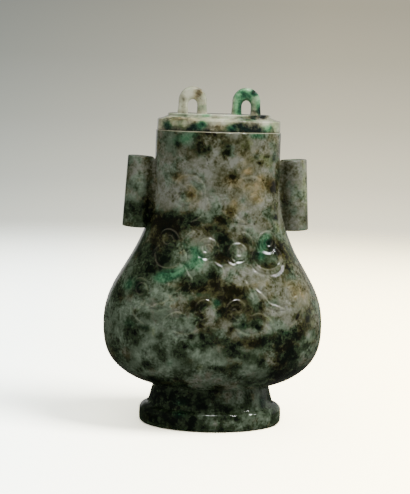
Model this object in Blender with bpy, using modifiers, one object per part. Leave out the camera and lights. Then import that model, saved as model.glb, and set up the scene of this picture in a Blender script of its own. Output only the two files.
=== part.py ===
"""Jade lidded jar: a flattened pear-shaped vessel on an oval foot, with a tubular handle on
each side of its neck, and a flat oval lid with two pierced loops.

Two separate pieces. The jar (body, foot and handles) is carved from one block and hollowed
out, and the lid rests on its rim with a plug that drops into the mouth.
Units are metres. +Z is up, the width lies along X, and the front faces -Y.
The origin is under the centre of the foot, on the plane it stands on.
"""
import math

import bmesh
import bpy

MM = 0.001

# ---- driving dimensions -------------------------------------------------------------------
SEGMENTS = 52                      # points round each oval section, a multiple of four
GAP = 0.3 * MM                     # clear space left where the lid rests on the rim
WALL = 4.0 * MM                    # thickness of the hollowed body
SOFT_EDGE = 0.6 * MM               # rounding of the polished edges

# depth of an oval as a share of its width, and its squareness (2 is an ellipse)
FOOT_DEPTH, FOOT_SQUARE = 0.71, 2.0
BELLY_DEPTH, BELLY_SQUARE = 0.66, 2.2
NECK_DEPTH, NECK_SQUARE = 0.62, 2.4

# foot
FOOT_TOP = 21.3 * MM               # where the belly springs from the foot
FOOT_WAIST = 31.2 * MM             # half-width there
FOOT_FLARE = 34.4 * MM             # half-width where the flare meets the base band
BAND_HALF_WIDTH = 38.5 * MM
BAND_HEIGHT = 10.3 * MM
BAND_SHOULDER = 3.3 * MM           # height of the band's rounded top
BAND_TOE = 1.8 * MM                # rounding of the band's bottom edge
RECESS_DEPTH = 12.0 * MM           # hollow under the foot
RING_WIDTH = 6.5 * MM              # flat ring that the jar stands on

# body
BELLY_HALF_WIDTH = 58.8 * MM
BELLY_HEIGHT = 54.3 * MM           # height of the widest level
BELLY_FULLNESS = 2.73              # exponent of the lower belly's curve
SHOULDER_PULL = 28.9 * MM          # how far the curve runs upright above the widest level
NECK_PULL = 46.0 * MM              # how far it runs upright below the neck
NECK_HALF_WIDTH = 33.3 * MM
NECK_START = 134.5 * MM
RIM_HALF_WIDTH = 33.1 * MM
RIM_HEIGHT = 156.9 * MM
FLOOR_HEIGHT = 25.8 * MM           # inside floor
FLOOR_HALF_WIDTH = 20.0 * MM       # its flat part

# tubular handles
TUBE_RADIUS = 7.0 * MM
TUBE_BORE = 4.0 * MM               # radius of the hole through it
TUBE_LENGTH = 37.6 * MM
TUBE_OFFSET = 41.7 * MM            # its middle, from the jar's axis
TUBE_MIDDLE = 124.0 * MM           # height of its middle
TUBE_LEAN = math.radians(3.5)      # the foot of the tube stands out further than its head
WEB_THICKNESS = 8.0 * MM           # stone left between the tube and the neck

# lid
LID_HALF_WIDTH = 32.6 * MM
LID_BASE = RIM_HEIGHT + GAP
LID_SIDE = 5.8 * MM                # height of the lower tier's edge
LID_SHOULDER = 1.3 * MM            # rounding of its upper edge
LID_RISE = 1.4 * MM                # rise of the sloping top from that edge to the platform
LEDGE_WIDTH = 5.4 * MM             # from the edge in to the platform
PLATFORM_HEIGHT = 1.6 * MM
PLATFORM_TOP = LID_BASE + LID_SIDE + LID_RISE + PLATFORM_HEIGHT
PLUG_DEPTH = 5.5 * MM
PLUG_CLEARANCE = 0.5 * MM

# pierced loops on the lid
OVERALL_HEIGHT = 180.0 * MM
LOOP_OFFSET = 14.2 * MM
LOOP_FOOT_HALF_WIDTH = 8.0 * MM
LOOP_HALF_WIDTH = 7.4 * MM         # where the arch springs
LOOP_THICKNESS = 6.0 * MM
LOOP_HOLE_HALF_WIDTH = 2.5 * MM
LOOP_HOLE_HEIGHT = 7.3 * MM        # from the platform to the crown of the hole
LOOP_ROOT = 1.2 * MM               # how deep the loop is set into the platform
ARC_HANDLE = 0.5523                # handle length of a Bezier quarter circle, in radii

JADE_DARK = (0.13, 0.15, 0.11, 1.0)
JADE_PALE = (0.30, 0.33, 0.24, 1.0)
POLISH = 0.18


# ---- helpers ------------------------------------------------------------------------------
def clear_scene():
    for old in list(bpy.data.objects):
        bpy.data.objects.remove(old, do_unlink=True)


def new_collection(name):
    collection = bpy.data.collections.new(name)
    bpy.context.scene.collection.children.link(collection)
    return collection


def jade(name, colour):
    material = bpy.data.materials.new(name)
    material.use_nodes = True
    shader = material.node_tree.nodes["Principled BSDF"]
    shader.inputs["Base Color"].default_value = colour
    shader.inputs["Roughness"].default_value = POLISH
    shader.inputs["Metallic"].default_value = 0.0
    return material


def put_in(collection, thing):
    for old in list(thing.users_collection):
        old.objects.unlink(thing)
    collection.objects.link(thing)


def smooth_step(low, high, value):
    """0 below low, 1 above high, and an even S-curve between."""
    t = min(1.0, max(0.0, (value - low) / (high - low)))
    return t * t * (3.0 - 2.0 * t)


def blend(a, b, t):
    return a + (b - a) * t


def depth_ratio(z):
    """Depth of the oval at height z as a share of its width."""
    lower = blend(FOOT_DEPTH, BELLY_DEPTH, smooth_step(FOOT_TOP, BELLY_HEIGHT, z))
    return blend(lower, NECK_DEPTH, smooth_step(BELLY_HEIGHT, NECK_START, z))


def squareness(z):
    """Exponent of the oval at height z."""
    lower = blend(FOOT_SQUARE, BELLY_SQUARE, smooth_step(FOOT_TOP, BELLY_HEIGHT, z))
    return blend(lower, NECK_SQUARE, smooth_step(BELLY_HEIGHT, NECK_START, z))


def power(value, exponent):
    return math.copysign(abs(value) ** exponent, value)


def oval(half_width, half_depth, square, z):
    """Points of a superellipse at height z, anticlockwise from +X."""
    points = []
    for i in range(SEGMENTS):
        angle = 2.0 * math.pi * i / SEGMENTS
        x = half_width * power(math.cos(angle), 2.0 / square)
        y = half_depth * power(math.sin(angle), 2.0 / square)
        points.append((x, y, z))
    return points


def body_oval(half_width, z, inset=0.0):
    """The body's section at height z, or the one that lies inset inside it all round."""
    half_depth = half_width * depth_ratio(z)
    return oval(half_width - inset, half_depth - inset, squareness(z), z)


def lid_oval(z, inset):
    """The lid's section at height z, inset from its outer edge."""
    half_depth = LID_HALF_WIDTH * NECK_DEPTH
    return oval(LID_HALF_WIDTH - inset, half_depth - inset, NECK_SQUARE, z)


def loft(name, rings, material, collection):
    """A closed skin through the rings in order, capped flat at the first and the last."""
    bm = bmesh.new()
    loops = [[bm.verts.new(point) for point in ring] for ring in rings]
    for lower, upper in zip(loops, loops[1:]):
        for i in range(SEGMENTS):
            j = (i + 1) % SEGMENTS
            bm.faces.new((lower[i], lower[j], upper[j], upper[i]))
    bm.faces.new(list(reversed(loops[0])))
    bm.faces.new(loops[-1])
    mesh = bpy.data.meshes.new(name)
    bm.to_mesh(mesh)
    bm.free()
    thing = bpy.data.objects.new(name, mesh)
    thing.data.materials.append(material)
    thing.data.shade_smooth()
    thing.data.set_sharp_from_angle(angle=math.radians(35))
    collection.objects.link(thing)
    return thing


def quarter(steps):
    """Sine and cosine of evenly spaced angles from 0 to 90 degrees."""
    angles = [0.5 * math.pi * i / steps for i in range(steps + 1)]
    return [(math.sin(angle), math.cos(angle)) for angle in angles]


def upright_curve(start, start_pull, end, end_pull, steps):
    """A Bezier from start to end, both (half-width, height), upright at each end."""
    points = []
    for i in range(steps + 1):
        t = i / steps
        s = 1.0 - t
        half_width = start[0] * (s**3 + 3 * s * s * t) + end[0] * (t**3 + 3 * s * t * t)
        z = (start[1] * s**3 + (start[1] + start_pull) * 3 * s * s * t
             + (end[1] - end_pull) * 3 * s * t * t + end[1] * t**3)
        points.append((half_width, z))
    return points


def boolean(thing, other, operation):
    modifier = thing.modifiers.new(f"{operation.lower()} {other.name}", "BOOLEAN")
    modifier.operation = operation
    modifier.solver = "EXACT"
    modifier.object = other


def hide_tool(thing, tools):
    put_in(tools, thing)
    thing.hide_render = True
    thing.display_type = "WIRE"


# ---- jar ----------------------------------------------------------------------------------
def foot_rings():
    """Recess under the foot, standing ring, base band and flare, from the inside out."""
    recess = BAND_HALF_WIDTH - RING_WIDTH - BAND_TOE
    rings = []
    for half_width, z in ((recess - SOFT_EDGE, RECESS_DEPTH),
                          (recess, RECESS_DEPTH - SOFT_EDGE),
                          (recess, SOFT_EDGE),
                          (recess + SOFT_EDGE, 0.0)):
        rings.append(body_oval(BAND_HALF_WIDTH, z, BAND_HALF_WIDTH - half_width))
    for rise, reach in quarter(3):
        z = BAND_TOE * (1.0 - reach)
        rings.append(body_oval(BAND_HALF_WIDTH, z, BAND_TOE * (1.0 - rise)))
    reach_in = BAND_HALF_WIDTH - FOOT_FLARE
    for rise, reach in quarter(4):
        z = BAND_HEIGHT - BAND_SHOULDER * (1.0 - rise)
        rings.append(body_oval(BAND_HALF_WIDTH - reach_in * (1.0 - reach), z))
    for t in (0.3, 0.65, 1.0):
        half_width = blend(FOOT_FLARE, FOOT_WAIST, t ** 0.85)
        rings.append(body_oval(half_width, blend(BAND_HEIGHT, FOOT_TOP, t)))
    return rings


def belly_bowl(half_width, centre, drop, lowest, steps):
    """Levels of the lower belly, a superellipse quarter, from height lowest up to the centre."""
    reach = (centre - lowest) / drop
    start = math.asin(reach ** (BELLY_FULLNESS / 2.0))
    points = []
    for i in range(steps + 1):
        angle = start * (1.0 - i / steps)
        x = half_width * math.cos(angle) ** (2.0 / BELLY_FULLNESS)
        z = centre - drop * math.sin(angle) ** (2.0 / BELLY_FULLNESS)
        points.append((x, z))
    return points


def outer_levels():
    """Half-width and height of the body's outside, from the foot to below the rim."""
    narrow = (FOOT_WAIST / BELLY_HALF_WIDTH) ** BELLY_FULLNESS
    drop = (BELLY_HEIGHT - FOOT_TOP) / (1.0 - narrow) ** (1.0 / BELLY_FULLNESS)
    lower = belly_bowl(BELLY_HALF_WIDTH, BELLY_HEIGHT, drop, FOOT_TOP, 9)
    upper = upright_curve((BELLY_HALF_WIDTH, BELLY_HEIGHT), SHOULDER_PULL,
                          (NECK_HALF_WIDTH, NECK_START), NECK_PULL, 13)
    return lower[1:] + upper[1:]


def inner_levels():
    """Half-width and height of the hollow's wall, from the mouth down to the floor."""
    drop = BELLY_HEIGHT - FLOOR_HEIGHT
    bowl_width = BELLY_HALF_WIDTH - WALL
    flat = (FLOOR_HALF_WIDTH / bowl_width) ** BELLY_FULLNESS
    lowest = BELLY_HEIGHT - drop * (1.0 - flat) ** (1.0 / BELLY_FULLNESS)
    lower = belly_bowl(bowl_width, BELLY_HEIGHT, drop, lowest, 6)
    upper = upright_curve((bowl_width, BELLY_HEIGHT), SHOULDER_PULL - 0.6 * WALL,
                          (NECK_HALF_WIDTH - WALL, NECK_START), NECK_PULL + 0.6 * WALL, 8)
    return list(reversed(lower + upper[1:]))


def jar_rings():
    rings = foot_rings()
    rings += [body_oval(half_width, z) for half_width, z in outer_levels()]
    for rise, reach in quarter(2):
        z = RIM_HEIGHT - SOFT_EDGE * (1.0 - rise)
        rings.append(body_oval(RIM_HALF_WIDTH, z, SOFT_EDGE * (1.0 - reach)))
    rings.append(body_oval(RIM_HALF_WIDTH, RIM_HEIGHT, WALL - SOFT_EDGE))
    rings.append(body_oval(RIM_HALF_WIDTH, RIM_HEIGHT - SOFT_EDGE, WALL))
    rings += [body_oval(half_width + WALL, z, WALL) for half_width, z in inner_levels()]
    return rings


def add_tube_handle(jar, side, jade_material, tools):
    """Unite one bored tube, and the web of stone behind it, with the neck on that side."""
    name = "right" if side > 0 else "left"
    place = (side * TUBE_OFFSET, 0.0, TUBE_MIDDLE)
    lean = (0.0, -side * TUBE_LEAN, 0.0)
    bpy.ops.mesh.primitive_cylinder_add(vertices=32, radius=TUBE_RADIUS, depth=TUBE_LENGTH,
                                        location=place, rotation=lean)
    tube = bpy.context.object
    tube.name = f"{name}_tube"
    tube.data.materials.append(jade_material)
    rounding = tube.modifiers.new("soft ends", "BEVEL")
    rounding.width = SOFT_EDGE
    rounding.segments = 2
    rounding.limit_method = "ANGLE"

    inner_end = NECK_HALF_WIDTH - 0.25 * WALL      # inside the neck's wall all the way down
    bpy.ops.mesh.primitive_cube_add(size=1.0)
    web = bpy.context.object
    web.name = f"{name}_web"
    web.dimensions = (TUBE_OFFSET - inner_end, WEB_THICKNESS, TUBE_LENGTH - 3.0 * MM)
    web.location = (side * 0.5 * (TUBE_OFFSET + inner_end), 0.0, TUBE_MIDDLE)
    web.rotation_euler = lean

    bpy.ops.mesh.primitive_cylinder_add(vertices=24, radius=TUBE_BORE, depth=1.2 * TUBE_LENGTH,
                                        location=place, rotation=lean)
    bore = bpy.context.object
    bore.name = f"{name}_bore"

    for tool, operation in ((web, "UNION"), (tube, "UNION"), (bore, "DIFFERENCE")):
        hide_tool(tool, tools)
        boolean(jar, tool, operation)


def make_jar(collection, tools):
    material = jade("jar_jade", JADE_DARK)
    jar = loft("jar", jar_rings(), material, collection)
    for side in (-1, 1):
        add_tube_handle(jar, side, material, tools)
    return jar


# ---- lid ----------------------------------------------------------------------------------
def lid_rings():
    """Plug, seat, lower tier, sloping ledge and platform, from the underside up."""
    plug_inset = LID_HALF_WIDTH - (RIM_HALF_WIDTH - WALL - PLUG_CLEARANCE)
    tier_top = LID_BASE + LID_SIDE
    platform_base = tier_top + LID_RISE
    rings = [lid_oval(LID_BASE - PLUG_DEPTH, plug_inset + SOFT_EDGE),
             lid_oval(LID_BASE - PLUG_DEPTH + SOFT_EDGE, plug_inset),
             lid_oval(LID_BASE, plug_inset),
             lid_oval(LID_BASE, 0.5 * SOFT_EDGE),
             lid_oval(LID_BASE + 0.5 * SOFT_EDGE, 0.0)]
    for rise, reach in quarter(3):
        z = tier_top - LID_SHOULDER * (1.0 - rise)
        rings.append(lid_oval(z, LID_SHOULDER * (1.0 - reach)))
    rings.append(lid_oval(platform_base, LEDGE_WIDTH))
    for rise, reach in quarter(2):
        z = PLATFORM_TOP - SOFT_EDGE * (1.0 - rise)
        rings.append(lid_oval(z, LEDGE_WIDTH + SOFT_EDGE * (1.0 - reach)))
    return rings


def arch_spline(curve, foot_half_width, half_width, foot, crown):
    """A round arch on straight legs, closed along its foot, as one Bezier spline."""
    spring = crown - half_width
    pull = ARC_HANDLE * half_width
    points = (((-foot_half_width, foot), (0.0, 0.0), (0.0, 0.0)),
              ((foot_half_width, foot), (0.0, 0.0), (0.0, 0.0)),
              ((half_width, spring), (0.0, -pull), (0.0, pull)),
              ((0.0, crown), (pull, 0.0), (-pull, 0.0)),
              ((-half_width, spring), (0.0, pull), (0.0, -pull)))
    spline = curve.splines.new("BEZIER")
    spline.bezier_points.add(len(points) - 1)
    spline.use_cyclic_u = True
    for knot, (place, before, after) in zip(spline.bezier_points, points):
        knot.co = (place[0], place[1], 0.0)
        knot.handle_left_type = "FREE"
        knot.handle_right_type = "FREE"
        knot.handle_left = (place[0] + before[0], place[1] + before[1], 0.0)
        knot.handle_right = (place[0] + after[0], place[1] + after[1], 0.0)


def make_loop(name, x):
    """A pierced arch with rounded edges, set upright on the lid's long axis."""
    curve = bpy.data.curves.new(name, "CURVE")
    curve.dimensions = "2D"
    curve.fill_mode = "BOTH"
    curve.resolution_u = 6
    curve.extrude = 0.5 * LOOP_THICKNESS - SOFT_EDGE
    curve.bevel_depth = SOFT_EDGE
    curve.bevel_resolution = 1
    curve.offset = -SOFT_EDGE
    foot = PLATFORM_TOP - LOOP_ROOT
    arch_spline(curve, LOOP_FOOT_HALF_WIDTH, LOOP_HALF_WIDTH, foot, OVERALL_HEIGHT)
    arch_spline(curve, LOOP_HOLE_HALF_WIDTH, LOOP_HOLE_HALF_WIDTH,
                foot + 0.5 * LOOP_ROOT, PLATFORM_TOP + LOOP_HOLE_HEIGHT)
    outline = bpy.data.objects.new(name, curve)
    bpy.context.scene.collection.objects.link(outline)
    outline.rotation_euler = (0.5 * math.pi, 0.0, 0.0)
    outline.location = (x, 0.0, 0.0)
    bpy.context.view_layer.update()
    solid = bpy.context.evaluated_depsgraph_get()
    mesh = bpy.data.meshes.new_from_object(outline.evaluated_get(solid))
    place = outline.matrix_world.copy()
    bpy.data.objects.remove(outline, do_unlink=True)
    bm = bmesh.new()
    bm.from_mesh(mesh)
    bmesh.ops.remove_doubles(bm, verts=bm.verts, dist=0.01 * MM)
    bm.to_mesh(mesh)
    bm.free()
    loop = bpy.data.objects.new(name, mesh)
    loop.matrix_world = place
    bpy.context.scene.collection.objects.link(loop)
    return loop


def make_lid(collection, tools):
    material = jade("lid_jade", JADE_PALE)
    lid = loft("lid", lid_rings(), material, collection)
    for name, side in (("left_loop", -1), ("right_loop", 1)):
        loop = make_loop(name, side * LOOP_OFFSET)
        loop.data.materials.append(material)
        hide_tool(loop, tools)
        boolean(lid, loop, "UNION")
    return lid


def main():
    clear_scene()
    pieces = new_collection("jade_lidded_jar")
    tools = new_collection("tools")
    make_jar(pieces, tools)
    make_lid(pieces, tools)


main()
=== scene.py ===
import math

import bmesh
import bpy
import numpy as np
from mathutils import Matrix, Vector


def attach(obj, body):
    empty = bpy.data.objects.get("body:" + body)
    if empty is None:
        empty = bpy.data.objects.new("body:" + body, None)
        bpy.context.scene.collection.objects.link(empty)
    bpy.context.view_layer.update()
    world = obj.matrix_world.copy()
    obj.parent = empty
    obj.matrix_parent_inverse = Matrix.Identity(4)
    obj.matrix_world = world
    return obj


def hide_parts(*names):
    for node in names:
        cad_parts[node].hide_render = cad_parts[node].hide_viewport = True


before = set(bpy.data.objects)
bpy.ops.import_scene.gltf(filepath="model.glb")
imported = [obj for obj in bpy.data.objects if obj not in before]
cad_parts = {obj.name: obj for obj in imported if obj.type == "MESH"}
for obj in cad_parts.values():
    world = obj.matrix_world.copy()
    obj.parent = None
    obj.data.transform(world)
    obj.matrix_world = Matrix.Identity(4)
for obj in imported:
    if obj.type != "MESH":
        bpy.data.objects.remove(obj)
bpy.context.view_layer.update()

# The looks of a carved jade jar with a flat lid. All working measures are millimetres, and turn
# into metres when a mesh is made. +Z is up, the width lies along X and the front faces -Y.
MM = 0.001

# ---- dimensions ---------------------------------------------------------------------------
# the solid jar's, but for a rim that stands 0.2 higher and a tighter LID_SHOULDER, which
# keep the seam under the lid thin
WALL = 4.0
SOFT_EDGE = 0.6
FOOT_DEPTH, FOOT_SQUARE = 0.71, 2.0
BELLY_DEPTH, BELLY_SQUARE = 0.66, 2.2
NECK_DEPTH, NECK_SQUARE = 0.62, 2.4

FOOT_TOP, FOOT_WAIST, FOOT_FLARE = 21.3, 31.2, 34.4
BAND_HALF_WIDTH, BAND_HEIGHT, BAND_SHOULDER, BAND_TOE = 38.5, 10.3, 3.3, 1.8
RECESS_DEPTH, RING_WIDTH = 12.0, 6.5

BELLY_HALF_WIDTH, BELLY_HEIGHT, BELLY_FULLNESS = 58.8, 54.3, 2.73
SHOULDER_PULL, NECK_PULL = 28.9, 46.0
NECK_HALF_WIDTH, NECK_START = 33.3, 134.5
RIM_HALF_WIDTH, RIM_HEIGHT = 33.1, 157.1
FLOOR_HEIGHT, FLOOR_HALF_WIDTH = 25.8, 20.0

TUBE_RADIUS, TUBE_BORE, TUBE_LENGTH = 7.0, 4.0, 37.6
TUBE_OFFSET, TUBE_MIDDLE, TUBE_LEAN = 41.7, 124.0, math.radians(3.5)
WEB_THICKNESS, WEB_INNER = 8.0, 32.3

LID_HALF_WIDTH, LID_BASE, LID_SIDE = 32.6, 157.2, 5.8
LID_SHOULDER, LID_RISE, LEDGE_WIDTH, PLATFORM_HEIGHT = 0.8, 1.4, 5.4, 1.6
PLATFORM_TOP = LID_BASE + LID_SIDE + LID_RISE + PLATFORM_HEIGHT
PLUG_DEPTH, PLUG_CLEARANCE = 5.5, 0.5
OVERALL_HEIGHT, LOOP_OFFSET = 180.0, 14.2
LOOP_FOOT_HALF_WIDTH, LOOP_HALF_WIDTH, LOOP_THICKNESS = 8.0, 7.4, 6.0
LOOP_HOLE_HALF_WIDTH, LOOP_HOLE_HEIGHT, LOOP_ROOT = 2.5, 7.3, 1.2

# ---- how finely each surface is cut -------------------------------------------------------
COLUMNS = 288            # round the jar; every second line of the carved field is put in between
INNER_COLUMNS = 72       # round the hollow and the recess
LID_COLUMNS = 160        # round the lid
FIELD_COLUMNS = 54       # columns of the carved field, each side of the front's middle
FIELD_LOW, FIELD_HIGH = 50.0, 137.5      # heights that the carved field lies between
POLISH_SOFTNESS = 0.35   # how far the polish rounds the outside's corners
CREASE = 50.0            # degrees from which an edge stays sharp

# ---- how the ornament is cut --------------------------------------------------------------
CARVING_DEPTH = 0.45
FRONT_WALL, BACK_WALL = 0.65, 1.8        # width over which the cut drops beside a band
BACK_SHARE, BACK_CREST_HIGHLIGHT = 0.8, 0.6        # the back's cut and its crests' painted highlight beside the front's
WALL_START = -0.3                        # the cut starts this far from a band's edge
GROUND_WIDTH = 2.1                       # width over which it rises to the surface again
NECK_SHARE = 0.45                        # share of the cut's depth that is left on the neck
NECK_LOW, NECK_HIGH = 108.0, 118.0       # heights between which it grows shallower
CREST_PLACE, CREST_WIDTH = -0.2, 0.33    # where a crest's painted highlight lies from the band's edge, and its width
CREST_HIGHLIGHT_BELOW = 0.2                        # share of the crest's painted highlight on an edge that faces down
GRINDING_DEPTH = 0.16                    # depth of the waves left by grinding


# ---- shape helpers ------------------------------------------------------------------------
def smooth_step(low, high, value):
    """0 below low, 1 above high, and the S-curve 3t^2 - 2t^3 between."""
    t = np.clip((value - low) / (high - low), 0.0, 1.0)
    return t * t * (3.0 - 2.0 * t)


def mix(a, b, t):
    """The value that lies the share t of the way from a to b."""
    return a + (b - a) * t


def depth_ratio(z):
    """Depth of the oval at height z as a share of its width."""
    lower = mix(FOOT_DEPTH, BELLY_DEPTH, smooth_step(FOOT_TOP, BELLY_HEIGHT, z))
    return mix(lower, NECK_DEPTH, smooth_step(BELLY_HEIGHT, NECK_START, z))


def squareness(z):
    """Exponent of the oval at height z, 2 for an ellipse."""
    lower = mix(FOOT_SQUARE, BELLY_SQUARE, smooth_step(FOOT_TOP, BELLY_HEIGHT, z))
    return mix(lower, NECK_SQUARE, smooth_step(BELLY_HEIGHT, NECK_START, z))


def oval(half_width, half_depth, square, turn):
    """Superellipse |x/a|^n + |y/b|^n = 1, as x = a cos^(2/n) and y = b sin^(2/n) with signs."""
    cos, sin = np.cos(turn), np.sin(turn)
    x = half_width * np.sign(cos) * np.abs(cos) ** (2.0 / square)
    y = half_depth * np.sign(sin) * np.abs(sin) ** (2.0 / square)
    return x, y


def even_turns(count):
    """Angles that space count points evenly round the belly's oval, starting at +X.
    One quarter is measured off by arc length, and the others mirror it, so that the
    four points on the axes are always among them."""
    fine = np.linspace(0.0, 0.5 * math.pi, 4001)
    x, y = oval(BELLY_HALF_WIDTH, BELLY_HALF_WIDTH * BELLY_DEPTH, BELLY_SQUARE, fine)
    along = np.concatenate([[0.0], np.cumsum(np.hypot(np.diff(x), np.diff(y)))])
    quarter = np.interp(np.linspace(0.0, along[-1], count // 4 + 1), along, fine)
    half = np.concatenate([quarter[:-1], math.pi - quarter[:0:-1]])
    return np.concatenate([half, half + math.pi])


def body_rings(half_width, z, inset, turn):
    """The body's oval at each height z, moved inset inwards all round. Rows by columns by xyz."""
    half_width, z, inset = (np.asarray(v, float)[:, None] for v in (half_width, z, inset))
    half_depth = half_width * depth_ratio(z)
    x, y = oval(half_width - inset, half_depth - inset, squareness(z), turn[None, :])
    return np.stack([x, y, np.broadcast_to(z, x.shape)], axis=2)


def lid_rings(z, inset, turn):
    """The lid's oval at each height z, moved inset inwards all round."""
    z, inset = (np.asarray(v, float)[:, None] for v in (z, inset))
    half_depth = LID_HALF_WIDTH * NECK_DEPTH
    x, y = oval(LID_HALF_WIDTH - inset, half_depth - inset, NECK_SQUARE, turn[None, :])
    return np.stack([x, y, np.broadcast_to(z, x.shape)], axis=2)


def grid_normals(points):
    """Unit normals of a grid closed round its columns: the cross product of the step to the
    next column and the step to the next row."""
    across = np.roll(points, -1, axis=1) - np.roll(points, 1, axis=1)
    up = np.gradient(points, axis=0)
    normal = np.cross(across, up)
    return normal / np.maximum(np.linalg.norm(normal, axis=2, keepdims=True), 1e-9)


def belly_bowl(half_width, centre, drop, lowest, count):
    """Lower belly, a superellipse quarter |x/a|^n + |(c-z)/drop|^n = 1 from lowest to centre."""
    start = math.asin(((centre - lowest) / drop) ** (BELLY_FULLNESS / 2.0))
    angle = np.linspace(start, 0.0, count)
    return np.stack([half_width * np.cos(angle) ** (2.0 / BELLY_FULLNESS),
                     centre - drop * np.sin(angle) ** (2.0 / BELLY_FULLNESS)], axis=1)


def upright_curve(start, start_pull, end, end_pull, count):
    """Cubic Bezier between two (half-width, height) points, upright at each end."""
    t = np.linspace(0.0, 1.0, count)
    s = 1.0 - t
    near, far = s**3 + 3.0 * s * s * t, t**3 + 3.0 * s * t * t
    z = (start[1] * s**3 + (start[1] + start_pull) * 3.0 * s * s * t
         + (end[1] - end_pull) * 3.0 * s * t * t + end[1] * t**3)
    return np.stack([start[0] * near + end[0] * far, z], axis=1)


def with_inset(levels, inset=0.0):
    """Adds a third column, the inset, to (half-width, height) levels."""
    return np.column_stack([levels, np.full(len(levels), inset)])


def evened(path, spacing, softness=0.0):
    """Resamples a path of (half-width, height, inset) at about the spacing wanted.
    softness is the width of the running average that rounds its corners, as polishing does.
    spacing is a function of the height, and steps are placed so that each covers one spacing."""
    side = np.column_stack([path[:, 0] - path[:, 2], path[:, 1]])
    along = np.concatenate([[0.0], np.cumsum(np.linalg.norm(np.diff(side, axis=0), axis=1))])
    step = 0.05
    even = np.arange(0.0, along[-1], step)
    fine = np.column_stack([np.interp(even, along, path[:, k]) for k in range(3)])
    if softness:
        reach = int(3.0 * softness / step)
        weight = np.exp(-0.5 * (np.arange(-reach, reach + 1) * step / softness) ** 2)
        weight /= weight.sum()
        padded = np.vstack([2.0 * fine[0] - fine[reach:0:-1], fine,
                            2.0 * fine[-1] - fine[-2:-reach - 2:-1]])
        fine = np.column_stack([np.convolve(padded[:, k], weight, "valid") for k in range(3)])
    density = np.cumsum(step / spacing(fine[:, 1]))
    count = int(round(density[-1]))
    pick = np.interp(np.linspace(density[0], density[-1], count + 1), density, even)
    return np.column_stack([np.interp(pick, even, fine[:, k]) for k in range(3)])


def outer_path():
    """Outside of the jar from the standing ring's outer edge up to the rim's flat top:
    toe, base band, rounded shoulder, flare, belly, neck and the rim's rounded edge."""
    turn = np.linspace(0.0, 0.5 * math.pi, 12)
    toe = np.column_stack([np.full(12, BAND_HALF_WIDTH), BAND_TOE * (1.0 - np.cos(turn)),
                           BAND_TOE * (1.0 - np.sin(turn))])
    reach_in = BAND_HALF_WIDTH - FOOT_FLARE
    shoulder = with_inset(np.column_stack([
        BAND_HALF_WIDTH - reach_in * (1.0 - np.cos(turn)),
        BAND_HEIGHT - BAND_SHOULDER * (1.0 - np.sin(turn))]))
    t = np.linspace(0.0, 1.0, 20)[1:]
    flare = with_inset(np.column_stack([mix(FOOT_FLARE, FOOT_WAIST, t ** 0.85),
                                        mix(BAND_HEIGHT, FOOT_TOP, t)]))
    narrow = (FOOT_WAIST / BELLY_HALF_WIDTH) ** BELLY_FULLNESS
    drop = (BELLY_HEIGHT - FOOT_TOP) / (1.0 - narrow) ** (1.0 / BELLY_FULLNESS)
    bowl = with_inset(belly_bowl(BELLY_HALF_WIDTH, BELLY_HEIGHT, drop, FOOT_TOP, 120)[1:])
    upper = with_inset(upright_curve((BELLY_HALF_WIDTH, BELLY_HEIGHT), SHOULDER_PULL,
                                     (NECK_HALF_WIDTH, NECK_START), NECK_PULL, 200)[1:])
    rim = np.column_stack([np.full(12, RIM_HALF_WIDTH),
                           RIM_HEIGHT - SOFT_EDGE * (1.0 - np.sin(turn)),
                           SOFT_EDGE * (1.0 - np.cos(turn))])
    return np.vstack([toe, shoulder, flare, bowl, upper, rim])


def inner_path():
    """The hollow's wall from the mouth's rounded edge down to the floor, as insets of WALL."""
    turn = np.linspace(0.0, 0.5 * math.pi, 4)
    lip = np.column_stack([np.full(4, RIM_HALF_WIDTH),
                           RIM_HEIGHT - SOFT_EDGE * (1.0 - np.cos(turn)),
                           WALL - SOFT_EDGE * (1.0 - np.sin(turn))])
    drop = BELLY_HEIGHT - FLOOR_HEIGHT
    bowl_width = BELLY_HALF_WIDTH - WALL
    flat = (FLOOR_HALF_WIDTH / bowl_width) ** BELLY_FULLNESS
    lowest = BELLY_HEIGHT - drop * (1.0 - flat) ** (1.0 / BELLY_FULLNESS)
    lower = belly_bowl(bowl_width, BELLY_HEIGHT, drop, lowest, 14)
    upper = upright_curve((bowl_width, BELLY_HEIGHT), SHOULDER_PULL - 0.6 * WALL,
                          (NECK_HALF_WIDTH - WALL, NECK_START), NECK_PULL + 0.6 * WALL, 20)
    wall = np.vstack([lower, upper[1:]])[::-1] + np.array([WALL, 0.0])
    return np.vstack([lip, with_inset(wall, WALL)])


# ---- carving ------------------------------------------------------------------------------
def spiral(x, z, outer, inner, start, sweep, width=1.3):
    """A scroll: radius falls evenly from outer to inner while the angle goes from start
    through sweep degrees. Each point is (along, height, half-width) from the centre, and the
    band tapers over its first tenth."""
    t = np.linspace(0.0, 1.0, max(16, int(abs(sweep) / 9)))
    angle = np.radians(start + sweep * t)
    radius = mix(outer, inner, t)
    half = width * (0.35 + 0.65 * smooth_step(0.0, 0.12, t))
    return (x, z), np.column_stack([radius * np.cos(angle), radius * np.sin(angle), half])


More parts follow.
